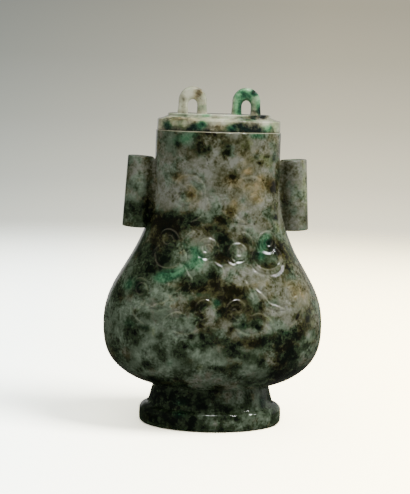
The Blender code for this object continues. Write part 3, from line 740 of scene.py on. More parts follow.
# each is (middle x, middle height, half-width, half-height, strength), and then, where it is
# slanted, the slant in degrees
JAR_STAINS_AND_SHADE = {
    "dark": [
        # broad shading of the stone: left shoulder, low belly and foot
        (12, 88, 40, 16, 0.12), (44, 44, 10, 34, 0.12), (-20, 64, 20, 14, 0.08),
        (-34, 95, 16, 18, 0.35), (-22, 10, 22, 13, 0.62), (4, 10, 12, 12, 0.15),
        (2, 72, 18, 10, 0.15), (28, 6, 12, 8, 0.22), (26, 100, 12, 14, 0.1),
        # neck; the tall narrow one at x 31 is painted shade beside the right tube
        (-9.5, 148, 3.8, 2.8, 1.1), (-13, 148.4, 2.2, 1.4, 0.5), (-16.5, 144, 1.8, 2.4, 0.6),
        (-22, 150.4, 1.8, 2.0, 0.65), (2.6, 147, 2.6, 3.0, 1.1), (1.5, 151.6, 3, 1.8, 0.5),
        (-3.5, 153.6, 2, 1.8, 0.6), (-12, 153, 3, 2.4, 0.6), (-8, 156, 7, 1.6, 0.6),
        (-2.8, 141.3, 1.1, 1.0, 1.0), (-23.5, 134, 2.2, 1.4, 0.95, -30), (-19, 130.8, 1.2, 1, 0.7),
        (-15, 123.8, 1.2, 1.5, 1.1), (-23.7, 121.2, 1, 1, 0.8), (-20.5, 124.5, 1.6, 1.8, 0.35),
        (7.2, 134, 2.4, 2.3, 1.05, -30), (4.5, 135, 4, 2.2, 0.4), (0, 130, 3, 2, 0.3),
        (2, 127, 3, 2.4, 0.35), (27.6, 130, 3.6, 3.2, 1.0), (29, 126.5, 1.8, 2.2, 0.7),
        (31, 135, 2.4, 9, 0.5), (29, 119, 2.6, 4, 0.5), (26.5, 114.6, 2.2, 1.6, 0.7),
        (30.5, 113, 1.4, 1.4, 0.9), (5.6, 115.5, 2.4, 3.2, 0.85), (-0.4, 112, 3, 2.2, 0.95),
        (2, 110.6, 1.8, 1.6, 0.6), (24, 144.8, 1.5, 1.2, 1.0), (21, 141.5, 2.2, 1.0, 0.95),
        (28, 143.5, 1.4, 1.8, 0.6), (13, 150.6, 2.6, 1.8, 0.6), (8.5, 152.5, 1.8, 1.4, 0.6),
        (11, 154.6, 2, 1.4, 0.6), (28.6, 150.4, 1.2, 1, 0.5), (12, 146.5, 2.6, 2, 0.3),
        (-4, 116.5, 1.8, 1.6, 0.5), (8, 106.6, 1.4, 1.4, 0.7),
        # the dark seam across the neck's root and the left shoulder
        (-43, 112, 8, 5, 0.6), (-36, 113, 4, 6, 0.8), (-31, 110, 6, 3.6, 1.1, -20),
        (-24.5, 110.4, 6, 2.8, 0.9), (-18, 112, 5.4, 3.0, 1.1, 10), (-26, 113.4, 4, 2, 0.7, 30),
        (-12, 110.4, 5.5, 2.6, 0.9), (-24, 107, 8, 3.4, 0.9), (-22.5, 103.5, 3.2, 4, 0.7),
        (-31, 104, 4, 3, 0.6), (-33, 97, 4, 4.4, 0.6), (-26.5, 97, 4.4, 4, 0.45),
        (-31, 89, 6.5, 4.4, 0.6), (-37, 84.5, 6, 2.8, 0.6, 15), (-40, 91, 2.4, 5, 0.5),
        (-5, 107, 4, 2.4, 0.6), (-21, 91.5, 1.4, 2, 0.5),
        # middle
        (1.6, 102, 4, 5.4, 1.15), (3.4, 96.4, 3.8, 4.2, 0.85), (2.8, 92, 5.4, 2.8, 0.8),
        (14, 101, 3.6, 2.2, 0.95, -15), (17.6, 94, 3, 3.8, 0.75), (27.6, 101, 2.8, 2.2, 0.9),
        (29.4, 97.4, 3.8, 3.4, 0.8), (27, 88.8, 4.2, 1.9, 0.95), (31.6, 94, 2, 3, 0.6),
        (35, 97, 2.6, 5, 0.45), (38.4, 91, 2.8, 6, 0.5), (36.4, 87, 2.6, 2.2, 0.5),
        # belly
        (-3.4, 85, 2.6, 2.8, 0.7), (-17, 78, 5.6, 3.2, 0.95, 15), (-9, 79, 3.8, 4.0, 0.85),
        (-3, 80, 4.4, 3.4, 0.75), (-0.6, 83, 2.4, 2.4, 0.4), (1.6, 78, 4, 3.6, 0.6),
        (7, 77.6, 4.6, 3.4, 0.95, -15), (11.2, 74.8, 4.4, 2.8, 0.95, -25), (3, 73, 3.8, 2.6, 0.7),
        (8, 71.4, 5.4, 2.2, 0.75), (2.8, 66, 3.4, 3.8, 1.0), (10, 68, 4, 2.2, 0.85),
        (17, 68, 3, 2.6, 0.75), (22, 68.4, 2.4, 2.4, 0.6), (20, 64.4, 4.6, 2, 0.55),
        (7, 63, 2, 1.8, 0.9), (23, 63, 1.8, 1.4, 0.6), (42, 63, 2, 1.5, 0.85),
        (-11.4, 68.6, 3.8, 2.8, 0.9), (-7, 70.4, 3.6, 2.0, 0.75), (-40, 78, 5.4, 3.2, 0.7),
        (-39.6, 73.4, 2.8, 2.2, 0.85), (-44.4, 72.4, 2.2, 2.2, 0.55), (-51, 71, 3.4, 5, 0.6),
        (-8, 63.4, 2.6, 2.2, 0.9), (-25, 76, 3, 1.4, 0.3), (28, 73.4, 2.6, 2, 0.25),
        # low belly; the wide, flat one at (-28, 25) is painted shade under the belly's overhang
        (-46, 58, 3.4, 3, 0.7), (-43, 53, 5, 3.2, 0.9), (-38.4, 56.4, 3, 1.6, 0.7),
        (-45, 48, 2.4, 3, 0.6), (-41.4, 48, 2, 3, 0.4), (-42, 64, 1.5, 1.6, 0.7),
        (-36, 62.6, 3.4, 2.4, 0.4), (-31.6, 46, 2.6, 2, 0.85), (-27.6, 42.6, 2.4, 3.6, 0.8),
        (-29, 52, 2.6, 1.6, 0.6), (-18, 48.4, 4, 2.4, 0.95, 20), (-22, 45.4, 2.4, 2.6, 0.5),
        (-12.4, 48.6, 4, 1.6, 0.7), (-7, 49.4, 3.6, 2.8, 0.5), (-8.6, 54, 2, 2.2, 0.85),
        (-13.4, 53, 1.6, 1.6, 0.65), (-9.3, 59.6, 1.7, 2.2, 1.1), (-18, 60.4, 1.7, 2, 0.6),
        (-2, 54.6, 2.6, 2.4, 0.9), (-3, 50.6, 3.4, 2.2, 0.8), (-5, 57, 1.5, 1.6, 0.6),
        (-17, 42.6, 3.4, 2.4, 0.65), (-14, 39.6, 4, 2.4, 0.65), (-28, 39.4, 2, 2.4, 0.6),
        (-36, 37, 2.6, 2, 0.8), (-32.6, 35.6, 2.4, 2, 0.6), (-39, 33.6, 2, 2, 0.4),
        (-19, 34.4, 4, 2.8, 0.55), (-13, 35, 1.6, 2, 0.5), (-2, 37, 2.8, 2, 0.75),
        (-22, 29.4, 5, 1.6, 0.7), (-32, 28.4, 4, 2, 0.7), (-45, 39, 3, 2, 0.45),
        (-16, 26, 3, 2.6, 0.7), (-28, 25, 10, 2.6, 0.9), (-52, 40, 6, 8, 0.4),
        (5, 48, 3, 2.2, 0.6), (9, 48.4, 3, 3.2, 0.85), (8, 44.4, 6, 2, 0.6),
        (14, 52, 4, 2.6, 0.55), (18, 49.4, 4, 2.4, 0.6), (17, 43.4, 4, 2.6, 0.75),
        (23, 41, 3.4, 2.8, 0.85), (26, 52.4, 5, 2, 1.0), (22, 50, 3, 2.6, 0.6),
        (34, 50, 6.4, 5.6, 1.15), (42, 54, 5, 3.4, 1.05), (35, 42, 4.4, 6, 1.0),
        (39.6, 46, 3.4, 4, 0.7), (41, 42.6, 3, 3, 0.7), (31, 37.4, 3, 3, 0.4),
        (36, 33, 8, 4, 0.85), (43, 33, 5, 5, 0.5), (29, 33.4, 3, 2.4, 0.7), (17, 29, 3.4, 4, 0.8),
        (31, 27, 8, 4, 0.8), (9, 38, 4, 2, 0.5), (3, 36.4, 4, 2.2, 0.6), (9, 33, 3, 2, 0.5),
        (1.6, 24.4, 3.8, 2.2, 0.95), (7, 57.4, 1.7, 1.7, 0.7), (5.6, 55.6, 1.3, 1.1, 0.7),
        (13, 59.6, 2, 2.4, 0.5), (18, 60.2, 2.8, 2, 0.65), (21, 58.4, 2, 1.5, 0.8),
        (4.6, 52, 2.4, 1.6, 0.5), (34, 56.6, 1.5, 1.1, 0.7), (47, 60, 2.6, 3.2, 0.85),
        (48.4, 65, 1.8, 2.6, 0.7), (48, 47, 1.5, 1.7, 0.8), (-1, 61, 1.4, 1.6, 0.5),
        (50, 56, 2, 2, 0.4),
        # foot
        (-29, 17, 6, 5, 0.75), (-21, 16.4, 5, 4, 0.55), (-14, 17, 4.6, 3, 0.5),
        (-7.6, 17.4, 3, 2.8, 0.6), (-6, 13.4, 3, 2, 0.85), (0, 21.6, 3.4, 1.6, 0.9),
        (-0.6, 18.6, 2.4, 2, 0.6), (3, 13.4, 3.6, 2.4, 0.5), (8, 12.4, 3, 1.8, 0.9),
        (19, 15.4, 1.8, 2.6, 0.75), (16.4, 13.4, 2, 1.6, 0.5), (27.4, 14, 2, 3.2, 0.5),
        (-33, 5, 8, 5, 0.7), (-22, 4.4, 7, 3, 0.55), (-11, 6, 2.2, 3, 0.9), (-9, 2.4, 6, 1.6, 0.7),
        (4.4, 2, 4, 1.2, 0.7), (12, 8, 2, 1.8, 0.5), (18, 2, 3, 1.2, 0.6), (-16, 8.6, 4, 1.6, 0.5),
        (34, 4, 4, 3, 0.35),
        # handles; the strips at x -36.5 and 36 are painted shade in the creases beside the neck,
        # and the two at x -48 and -47 are painted shade down the left tube's outer side
        (-48, 140, 1.6, 4, 0.5), (-47, 129, 2, 4, 0.35), (-36.5, 128, 2, 22, 0.45),
        (-45, 116, 5, 3.4, 0.55), (-38.5, 118, 4, 6, 0.6), (-43, 127, 2, 2.4, 0.3),
        (-40, 136, 1.6, 3, 0.35), (36, 130, 2, 16, 0.4), (37, 118, 3.4, 3.4, 0.45),
        (47.4, 117, 2, 2.2, 0.6), (44, 123.5, 2.4, 2.4, 0.35), (42, 133, 2, 3, 0.3),
        (48, 110.6, 2.4, 2.4, 0.45), (46, 130, 1.6, 1.6, 0.4),
    ],
    "pale": [
        (4, 126, 18, 16, 0.22), (24, 128, 9, 20, 0.16), (42, 125, 8, 22, 0.25),
        (-24, 42, 16, 10, 0.25), (-10.6, 90.6, 2.8, 3.2, 0.6), (-26, 83.4, 4, 2, 0.4, 10),
        (-22, 127, 6, 8, 0.45), (-14, 135, 7, 5, 0.35), (-46, 62, 9, 9, 0.35),
        (-44, 132, 7, 12, 0.3), (-29.5, 139, 3.6, 5, 0.75), (-29.5, 123, 3.6, 8, 0.85),
        (-7, 138, 5, 5, 0.75), (6, 142, 5, 2.4, 0.6), (-3, 147, 2, 2.6, 0.5),
        (-1, 123.6, 3.4, 5, 0.65), (-8, 119, 6, 3, 0.75), (10, 144, 3, 2.6, 0.5),
        (20, 151, 4, 3, 0.5), (19, 136.6, 2.6, 2, 0.6), (22, 121, 3, 3, 0.7),
        (17, 117.6, 4, 4, 0.4), (13, 112, 5, 4, 0.4), (28, 123, 3, 2.6, 0.5),
        (33, 117, 1.6, 10, 0.7), (24, 147.6, 4, 2, 0.4), (9, 156, 3, 1.4, 0.6),
        (-20, 119, 5, 3, 0.5), (-23, 140, 5, 4, 0.4), (-6, 98, 4.6, 4.4, 0.65),
        (-14, 104, 4.6, 3.6, 0.4), (-22, 93.4, 3, 2.6, 0.8), (-17, 92, 4, 3, 0.75),
        (-19, 87, 4.6, 2.8, 0.8), (-9, 87.4, 4.4, 2.6, 0.65), (-4.4, 90, 4, 2.4, 0.5),
        (-33, 76, 6, 3.6, 0.95), (-27, 75, 4.4, 2.8, 0.6), (-36, 68, 8, 3.8, 0.7),
        (-44, 66.6, 4, 4, 0.5), (-24, 69, 6, 4, 0.55), (-3.6, 65.4, 2.4, 3.4, 1.4),
        (-36, 102, 2, 5, 0.45), (11, 96, 3.6, 2.8, 1.0), (10, 104, 4, 4.4, 0.35),
        (5, 87.4, 6, 2.8, 0.95, -8), (12, 85, 6, 4, 0.6), (10, 80.4, 4, 2.8, 0.9, -25),
        (20, 83, 9, 4.6, 0.7), (26, 78.4, 7, 4, 0.45), (18, 74, 3.6, 3.8, 0.75),
        (35, 75, 4, 3.4, 0.5), (44, 70, 4.6, 5, 0.7), (30, 66.4, 6, 3.6, 0.7), (38, 67, 5, 4, 0.6),
        (33, 91, 2, 2.6, 0.5), (18, 106, 5, 5, 0.35), (-21, 56.4, 8, 5.4, 0.75),
        (-31, 58, 3, 3, 0.5), (-17, 59, 3, 2.6, 0.55), (-19.4, 52, 3.6, 2.8, 0.7),
        (-22, 49.2, 3, 1.6, 0.5), (-36, 50.4, 3.6, 5, 0.5), (-38, 43, 6, 3.6, 0.65),
        (-47.4, 45, 2, 6, 0.4), (-29, 36, 1.8, 3, 0.5), (-11, 42, 2.2, 3.4, 0.5),
        (-9, 45, 3, 2.2, 0.65), (-11.6, 56.2, 3, 1.4, 0.55, -20), (-24, 37.6, 4, 3.6, 0.45),
        (-4.6, 28.6, 5, 3.2, 0.65), (-9.4, 32, 2.6, 5, 0.45), (-10.6, 26, 3, 2.4, 0.5),
        (3, 57.4, 2.4, 4, 0.9), (10, 53.6, 3.8, 2.8, 0.75), (14, 56.6, 3, 1.8, 0.65),
        (17, 57.6, 2, 1.4, 0.6), (24, 57.6, 2.4, 3.6, 0.65), (30, 58.6, 4, 2.8, 0.95),
        (36, 57.4, 2, 2.4, 0.75), (36.4, 62, 5, 2.6, 0.5), (45, 61, 2, 2.6, 0.4),
        (21.6, 43, 1.9, 2.4, 0.5), (18.4, 38, 3.4, 1.8, 0.8), (27, 40, 2.8, 2.6, 0.5),
        (14, 34.6, 4, 1.9, 0.9), (1, 40, 3, 2.6, 0.7), (46.4, 39, 2.4, 5, 1.0),
        (43, 48, 1.8, 2, 0.5), (49, 52, 2.2, 3, 0.7), (9, 25, 4, 2.4, 0.75), (1.6, 31, 2, 2, 0.5),
        (24, 32, 2, 1.4, 0.5), (7, 18, 3.4, 3.2, 0.85), (13.4, 17, 2.4, 3.8, 0.75),
        (24, 12.4, 2.4, 5, 0.75), (24, 18, 3, 3, 0.4), (-7.6, 9.4, 1.8, 1.3, 0.7),
        (1, 5.6, 4, 1.5, 1.0), (9, 5.3, 3, 1.2, 0.75), (22, 6, 4, 2.4, 1.0), (28.6, 6, 5, 3, 0.6),
        (-16.6, 4, 1.8, 2, 0.6), (14, 4, 2, 1.4, 0.5), (-44, 108, 5, 2.6, 0.6),
        (43, 110, 4, 4, 0.5), (-43, 134, 4, 9, 0.65), (-43, 141, 6, 2.5, 0.4),
        (44, 130, 6, 16, 0.55), (-44, 121, 3, 3, 0.5), (42, 139, 4, 3, 0.4),
    ],
    "emerald": [
        (-10.6, 90.6, 3.4, 3.8, 1.3, 20), (-12, 96, 2.8, 3.4, 0.6),
        (-26.6, 83.2, 4.6, 2.8, 1.2, 10), (-21, 85, 4, 2.8, 0.6, 20), (-30.6, 81.4, 3.6, 2.6, 0.6),
        (-17, 88, 5, 2.6, 0.5, 25), (-16, 99, 5, 4.4, 0.3), (-9, 74.6, 4, 1.6, 0.45),
        (-1, 71, 3, 1.8, 0.9, -20), (-3, 68.4, 2, 1.6, 0.5), (24.4, 101, 2.8, 3.4, 0.9, -10),
        (22.6, 96.4, 2.8, 3.8, 0.65), (22, 93, 3, 2.6, 0.3), (26.4, 104, 2.6, 2, 0.4),
        (-18, 153.4, 3.6, 3, 0.9), (-24, 152, 4, 3, 0.4), (-13, 155.6, 4, 1.6, 0.4),
        (18.6, 155.6, 4.4, 1.8, 0.65), (-46, 57.6, 3.6, 3, 0.45), (-43, 78, 5, 4, 0.4),
        (-47, 76, 3, 3, 0.4), (-17, 9, 5, 2.4, 0.55), (-17, 14.4, 5, 3, 0.5), (-24, 39, 4, 4, 0.3),
        (36, 55, 3, 1.6, 0.5), (27, 13.6, 3, 3.6, 0.4), (1, 6, 4, 2, 0.3), (13, 59, 3, 2.6, 0.3),
        (-12, 49, 6, 2, 0.35), (-46, 122, 3, 8, 0.25), (-38, 57, 4, 2, 0.35),
        (-40, 106, 5, 4, 0.25),
    ],
    "moss": [
        (44, 124, 8, 20, 0.3), (13, 151.4, 5, 3.8, 0.65), (23, 144, 4, 3, 0.55),
        (25.6, 140, 4, 3, 0.65), (30, 151, 4, 4.6, 0.5), (16, 143, 3, 2, 0.4),
        (29, 118, 3, 5, 0.45), (36.4, 101, 4, 7, 0.5), (38.6, 90, 4, 7, 0.45),
        (31.6, 108, 3.6, 4, 0.5), (28, 62.6, 5, 2.6, 0.4), (-33, 55, 3, 2.8, 0.5),
        (-8, 37.4, 4, 2.8, 0.4), (-42, 65, 3, 2, 0.4), (28.6, 40, 3, 2, 0.55),
        (24, 57.4, 2.4, 3.4, 0.4), (-31, 108, 4, 3, 0.4), (47.5, 135, 3, 10, 0.65),
        (49, 120, 2.6, 10, 0.5), (53, 66, 6, 12, 0.45), (51, 46, 6, 10, 0.3), (16, 94, 4, 4, 0.3),
    ],
    "rust": [
        (14.5, 137, 3.2, 2.0, 1.3), (18, 129, 8, 3.4, 0.8), (19.4, 123.6, 4, 2.6, 0.8),
        (6, 132, 5, 3, 0.7), (27.4, 130, 4, 3, 1.0), (22, 134, 3, 2, 0.7), (6, 116, 3, 4, 0.45),
        (0, 112, 3, 2.4, 0.5), (11, 146, 3, 2.6, 0.35), (18, 147.4, 3, 2, 0.3),
        (28, 154, 5, 2, 0.45), (8, 121, 2, 4, 0.35), (-9.5, 148, 4, 3, 0.35),
        (2.6, 147, 3, 3, 0.35), (-15, 125, 3.0, 3.6, 0.9), (-21, 132.6, 4, 3, 0.8),
        (-19, 95, 3, 2.8, 0.35), (-20, 79.4, 7, 2.8, 0.45, 10), (-25, 72.6, 7, 4.6, 0.3),
        (-12, 69, 4.6, 3, 0.3), (-2, 85, 3, 2.6, 0.35), (-1.5, 92, 3, 2.6, 0.35),
        (3, 92, 5, 2.4, 0.35), (41, 75.4, 3.2, 4.4, 0.85), (37, 79.6, 4, 2, 0.5),
        (18, 80, 4, 3, 0.3), (28, 73.6, 2.8, 2, 0.5), (47.4, 73, 4, 8, 0.4), (-14, 40, 5, 3, 0.3),
        (17, 50, 5, 2, 0.3), (27, 89, 4, 2, 0.4), (7, 77, 6, 4, 0.25), (35, 97, 3, 5, 0.3),
    ],
    "cool": [
        (16, 130, 16, 18, -0.35), (4, 72, 16, 12, -0.35), (44, 70, 12, 26, -0.3),
        (-28, 104, 12, 8, -0.35), (-44, 62, 22, 26, 1.0), (-22, 48, 24, 14, 0.7),
        (4, 36, 40, 11, 0.8), (0, 9, 50, 12, 1.1), (-20, 90, 18, 12, 0.8), (6, 87, 10, 5, 0.5),
        (-16, 113, 12, 4, 0.9), (-46, 122, 7, 24, 0.8), (44, 126, 7, 20, 0.35),
        (10, 99, 10, 7, 0.6), (-42, 98, 9, 12, 0.5), (32, 58, 10, 5, 0.7), (24, 98, 6, 8, 0.6),
        (18, 73, 5, 5, 0.5), (-22, 153, 8, 5, 0.6), (14, 57, 8, 5, 0.4), (46, 40, 6, 8, 0.6),
        (20, 112, 14, 6, 0.3), (-8, 118, 8, 4, 0.4), (-7, 139, 6, 6, 0.3),
    ],
}

LID_STAINS_AND_HIGHLIGHTS = {
    "dark": [
        # tier
        (-16, 159.4, 18, 3, 0.30), (6, 158, 30, 2, 0.22), (16, 174, 7, 9, 0.22),
        (-28.5, 159.6, 3, 2.0, 0.7), (-20, 158.2, 5, 1.2, 0.5), (-13.4, 158.8, 3.0, 2.6, 0.95),
        (-10.2, 160.9, 1.0, 1.2, 1.1), (-2.5, 160.2, 0.9, 0.7, 0.7), (-24, 163.0, 8, 0.7, 0.6),
        (5, 158.8, 2.4, 2.2, 0.5), (8.6, 159.0, 3.6, 2.8, 1.5), (15.2, 158.8, 4.6, 3.0, 1.3),
        (20.0, 158.6, 2.2, 2.4, 0.4), (27.3, 158.8, 1.6, 1.2, 0.6), (32, 160, 1, 3, 0.4),
        (31, 157.8, 3, 0.8, 0.5), (0, 157.4, 34, 0.5, 0.3),
        # platform
        (14, 164.6, 4, 1.0, 1.0), (21, 165.4, 5, 1.6, 2.2), (-18.2, 164.6, 1.0, 0.7, 0.8),
        (2, 164.2, 22, 0.5, 0.4),
        # loops
        (18.2, 178.0, 1.6, 1.5, 2.6), (22.2, 169.0, 1.8, 4.2, 1.3), (20, 167, 3, 1.6, 0.7),
        (10.8, 169.4, 1.4, 3, 0.55), (12.4, 176, 1.6, 2.2, 0.5, 20),
        (-11.2, 176.6, 1.6, 2.2, 0.75, -20), (-19, 170, 1.0, 6, 0.3), (-13, 168, 0.8, 4, 0.3),
    ],
    "pale": [
        # (-2, 162.2) and the two at x 24 are painted highlights along the tier's top edge
        (-20, 161.0, 6, 1.6, 0.5), (-2, 162.2, 7, 1.3, 0.9), (24, 161.4, 4, 1.0, 0.6),
        (24, 163.4, 6, 1.0, 1.2), (4, 165.6, 8, 1.3, 1.0), (-14, 165.6, 6, 1.3, 0.9),
        (-17, 174, 4, 5, 0.7), (20, 174, 2.4, 3.4, 0.9), (16, 178.8, 3, 1.4, 0.7),
        (30.6, 160.4, 2.4, 1.6, 0.5),
    ],
    "emerald": [
        (12, 176, 3.6, 3.6, 1.3), (10, 170, 2.2, 5, 1.2), (18, 178, 4, 2, 0.8),
        (15, 174, 8, 7, 0.5), (21, 170, 2, 5, 0.9), (10.4, 168, 2.4, 4, 0.6),
        (-28.5, 159.6, 3, 2.2, 1.0), (-12.5, 159, 4, 2.6, 0.7), (-10, 161, 2.4, 1.8, 0.8),
        (-7.6, 165.4, 3, 1.2, 1.0), (5, 159, 2.4, 2.4, 0.8), (12, 159.4, 9, 2.6, 0.25),
        (24, 159.4, 3, 2.8, 0.8),
    ],
    "moss": [
        (0, 160, 34, 5, 0.45), (-24, 160, 8, 3, 0.5), (4, 157.8, 5, 1.2, 0.8),
        (29.5, 160.4, 5, 4, 1.4), (-18, 158.6, 5, 1.6, 0.5),
    ],
    "rust": [
        (-11.2, 176.6, 2.0, 2.6, 0.8, -20), (-13.5, 174, 1.6, 3, 0.5), (-0.5, 159, 4, 2, 0.7),
        (-24, 163.2, 9, 0.9, 0.9), (31, 163, 3, 1.5, 0.6), (-2.5, 160.2, 1.2, 1, 0.7),
        (14, 164.6, 4, 1, 0.8), (2, 162.4, 8, 1.2, 0.4),
    ],
    "cool": [],
}


def front_depth(x, z):
    """How far forward the front surface lies at (x, z): the oval solved for y."""
    heights = SIDE_LINE[:, 1]
    a = np.interp(z, heights, SIDE_LINE[:, 0])
    b, n = a * depth_ratio(z), squareness(z)
    return b * np.clip(1.0 - (np.abs(x) / a) ** n, 0.0, 1.0) ** (1.0 / n)


def outline_levels():
    """Half-width of the outside at rising heights, for front_depth."""
    path = outer_path()
    order = np.argsort(path[:, 1], kind="stable")
    return path[order]


SIDE_LINE = outline_levels()


def lid_depth(x, z):
    """How far in front of the middle the lid's stains lie: on the loops, or on the tier."""
    return LOOP_DEPTH if z > PLATFORM_TOP else TIER_DEPTH


def stain_field(points, stains, lift):
    """Strength of one colour at each point: the sum over its stains of strength times
    exp(-STAIN_FALL r^2), where r is the distance in half-sizes inside a slanted ellipsoid
    that lies on the front surface. The sum levels off at STAIN_LIMIT. The back gets a turned
    copy, weaker, so that it is in keeping, unless the piece is too thin for its own back."""
    total = np.zeros(len(points))
    for x, z, wide, tall, strength, *slant in stains:
        angle = math.radians(slant[0] if slant else 0.0)
        c, s = math.cos(angle), math.sin(angle)
        y = float(lift(x, z))
        thick = STAIN_THICKNESS * (wide + tall) + STAIN_LEAST_DEPTH
        for back, weight in ((1.0, 1.0), (-1.0, BACK_STRENGTH if y > THIN_DEPTH else 0.0)):
            dx, dz = points[:, 0] * back - x, points[:, 2] - z
            u, v = (dx * c + dz * s) / wide, (dz * c - dx * s) / tall
            w = (points[:, 1] * back + y) / thick
            total += weight * strength * np.exp(-STAIN_FALL * (u * u + v * v + w * w))
    return STAIN_LIMIT * (1.0 - np.exp(-total / STAIN_LIMIT))


def paint_stains_and_light(thing, stains, lift, highlight_low, highlight_high):
    """Stores each colour's strength as a point attribute of its own. The thin rim between the
    two heights given last is painted paler, a painted highlight, and so, a little, are the
    thin crests of the carving."""
    mesh = thing.data
    points = np.empty(len(mesh.vertices) * 3, np.float32)
    mesh.vertices.foreach_get("co", points)
    points = points.reshape(-1, 3) / MM
    for name, spots in stains.items():
        attribute = mesh.attributes.new(name, "FLOAT", "POINT")
        attribute.data.foreach_set("value", stain_field(points, spots, lift).astype(np.float32))
    # painted highlight: a pale band along the rim, and a fainter one on the carving's crests
    height = points[:, 2]
    edge = (smooth_step(highlight_low - 0.4, highlight_low, height)
            * (1.0 - smooth_step(highlight_high, highlight_high + 0.5, height)))
    if "crest" in mesh.attributes:
        crest = np.empty(len(points), np.float32)
        mesh.attributes["crest"].data.foreach_get("value", crest)
        edge = np.maximum(edge, CREST_HIGHLIGHT * crest)
    mesh.attributes.new("edge", "FLOAT", "POINT").data.foreach_set(
        "value", edge.astype(np.float32))


# ---- materials ----------------------------------------------------------------------------
class Tree:
    """Short words for adding nodes to a tree and joining them."""

    def __init__(self, tree):
        self.tree = tree

    def node(self, kind, inputs=None, **settings):
        made = self.tree.nodes.new(kind)
        for key, value in settings.items():
            setattr(made, key, value)
        for key, value in (inputs or {}).items():
            self.give(made.inputs[key], value)
        return made

    def give(self, socket, value):
        if isinstance(value, bpy.types.NodeSocket):
            self.tree.links.new(value, socket)
        else:
            socket.default_value = value

    def math(self, operation, a, b=0.0, clamp=False):
        return self.node("ShaderNodeMath", {0: a, 1: b}, operation=operation,
                         use_clamp=clamp).outputs[0]

    def add(self, a, b):
        return self.math("ADD", a, b)

    def minus(self, a, b):
        return self.math("SUBTRACT", a, b)

    def times(self, a, b):
        return self.math("MULTIPLY", a, b)

    def vector(self, operation, a, b):
        return self.node("ShaderNodeVectorMath", {0: a, 1: b}, operation=operation).outputs

    def scaled(self, vector, factor):
        return self.node("ShaderNodeVectorMath", {0: vector, "Scale": factor},
                         operation="SCALE").outputs[0]

    def ranged(self, value, low, high, start=0.0, end=1.0, kind="LINEAR"):
        """The value carried from the limits low and high to start and end."""
        return self.node("ShaderNodeMapRange", {
            "Value": value, "From Min": low, "From Max": high, "To Min": start, "To Max": end},
            interpolation_type=kind).outputs[0]

    def step(self, value, low, high, start=0.0, end=1.0):
        """Smooth step of a value between two limits, from start to end."""
        return self.ranged(value, low, high, start, end, "SMOOTHSTEP")

    def colours(self, factor, a, b, blend="MIX"):
        return self.node("ShaderNodeMix", {0: factor, 6: a, 7: b}, data_type="RGBA",
                         blend_type=blend).outputs[2]

    def blend(self, factor, a, b):
        """One shader below the factor and another above it."""
        return self.node("ShaderNodeMixShader", {0: factor, 1: a, 2: b}).outputs[0]

    def noise(self, vector, size, detail=3.0, roughness=0.55, distortion=0.0, output="Fac"):
        """Noise whose blotches are about size millimetres across."""
        return self.node("ShaderNodeTexNoise",
                         {"Vector": vector, "Scale": 1.0 / (size * MM), "Detail": detail,
                          "Roughness": roughness, "Distortion": distortion}).outputs[output]

    def attribute(self, name):
        return self.node("ShaderNodeAttribute", attribute_name=name).outputs["Fac"]


def new_group(name, inputs, outputs):
    """A shader node group with its sockets, and its tree's inputs and output node."""
    tree = bpy.data.node_groups.new(name, "ShaderNodeTree")
    for label, kind, value in inputs:
        socket = tree.interface.new_socket(name=label, in_out="INPUT", socket_type=kind)
        if value is not None:
            socket.default_value = value
    for label, kind in outputs:
        tree.interface.new_socket(name=label, in_out="OUTPUT", socket_type=kind)
    made = Tree(tree)
    return made, made.node("NodeGroupInput").outputs, made.node("NodeGroupOutput").inputs


VALUE, COLOUR, VECTOR = "NodeSocketFloat", "NodeSocketColor", "NodeSocketVector"


def drifting_group():
    """Bends a pattern's place by slow and quick noise, so that its edges wander."""
    t, given, out = new_group("drifting place", [
        ("Place", VECTOR, None), ("Slow", VALUE, 0.003), ("Quick", VALUE, 0.0008)],
        [("Place", VECTOR)])
    place = given["Place"]
    for size, reach in ((14.0, "Slow"), (2.6, "Quick")):
        colour = t.noise(given["Place"], size, 2.0, output="Color")
        centred = t.vector("SUBTRACT", colour, (0.5, 0.5, 0.5))[0]
        place = t.vector("ADD", place, t.scaled(centred, given[reach]))[0]
    t.give(out["Place"], place)
    return t.tree


def tones_group():
    """Four shades of one hue laid along a tone from 0, pale, to 1, black."""
    t, given, out = new_group("stone tones", [
        ("Tone", VALUE, 0.5), ("Pale", COLOUR, None), ("Middle", COLOUR, None),
        ("Deep", COLOUR, None), ("Black", COLOUR, None)],
        [("Color", COLOUR)])
    tone = given["Tone"]
    shade = t.colours(t.step(tone, 0.02, 0.42), given["Pale"], given["Middle"])
    shade = t.colours(t.step(tone, 0.34, 0.72), shade, given["Deep"])
    t.give(out["Color"], t.colours(t.step(tone, 0.60, 1.15), shade, given["Black"]))
    return t.tree


def ragged_group():
    """Turns the strength of a stain into a mask whose edge is broken up by noise."""
    t, given, out = new_group("ragged stain", [
        ("Place", VECTOR, None), ("Strength", VALUE, 0.5), ("Size", VALUE, 250.0),
        ("Break", VALUE, 1.6)],
        [("Mask", VALUE)])
    noise = t.node("ShaderNodeTexNoise", {"Vector": given["Place"], "Scale": given["Size"],
                                          "Detail": 3.0, "Roughness": 0.6}).outputs["Fac"]
    strength = given["Strength"]
    broken = t.add(strength, t.times(t.minus(noise, 0.5), given["Break"]))
    t.give(out["Mask"], t.times(t.step(broken, 0.12, 0.95), t.step(strength, 0.04, 0.3)))
    return t.tree


def speck_group():
    """Small dark or rusty specks, where small cells' middles meet the thick of a noise."""
    t, given, out = new_group("specks", [
        ("Place", VECTOR, None), ("Size", VALUE, 420.0), ("Amount", VALUE, 0.5)],
        [("Mask", VALUE)])
    cells = t.node("ShaderNodeTexVoronoi", {"Vector": given["Place"], "Scale": given["Size"],
                                            "Randomness": 1.0})
    spot = t.minus(1.0, t.step(cells.outputs["Distance"], 0.12, 0.42))
    patch = t.noise(given["Place"], 7.0, 2.0)
    level = t.minus(0.72, t.times(given["Amount"], 0.3))
    t.give(out["Mask"], t.times(spot, t.step(patch, level, t.add(level, 0.1))))
    return t.tree


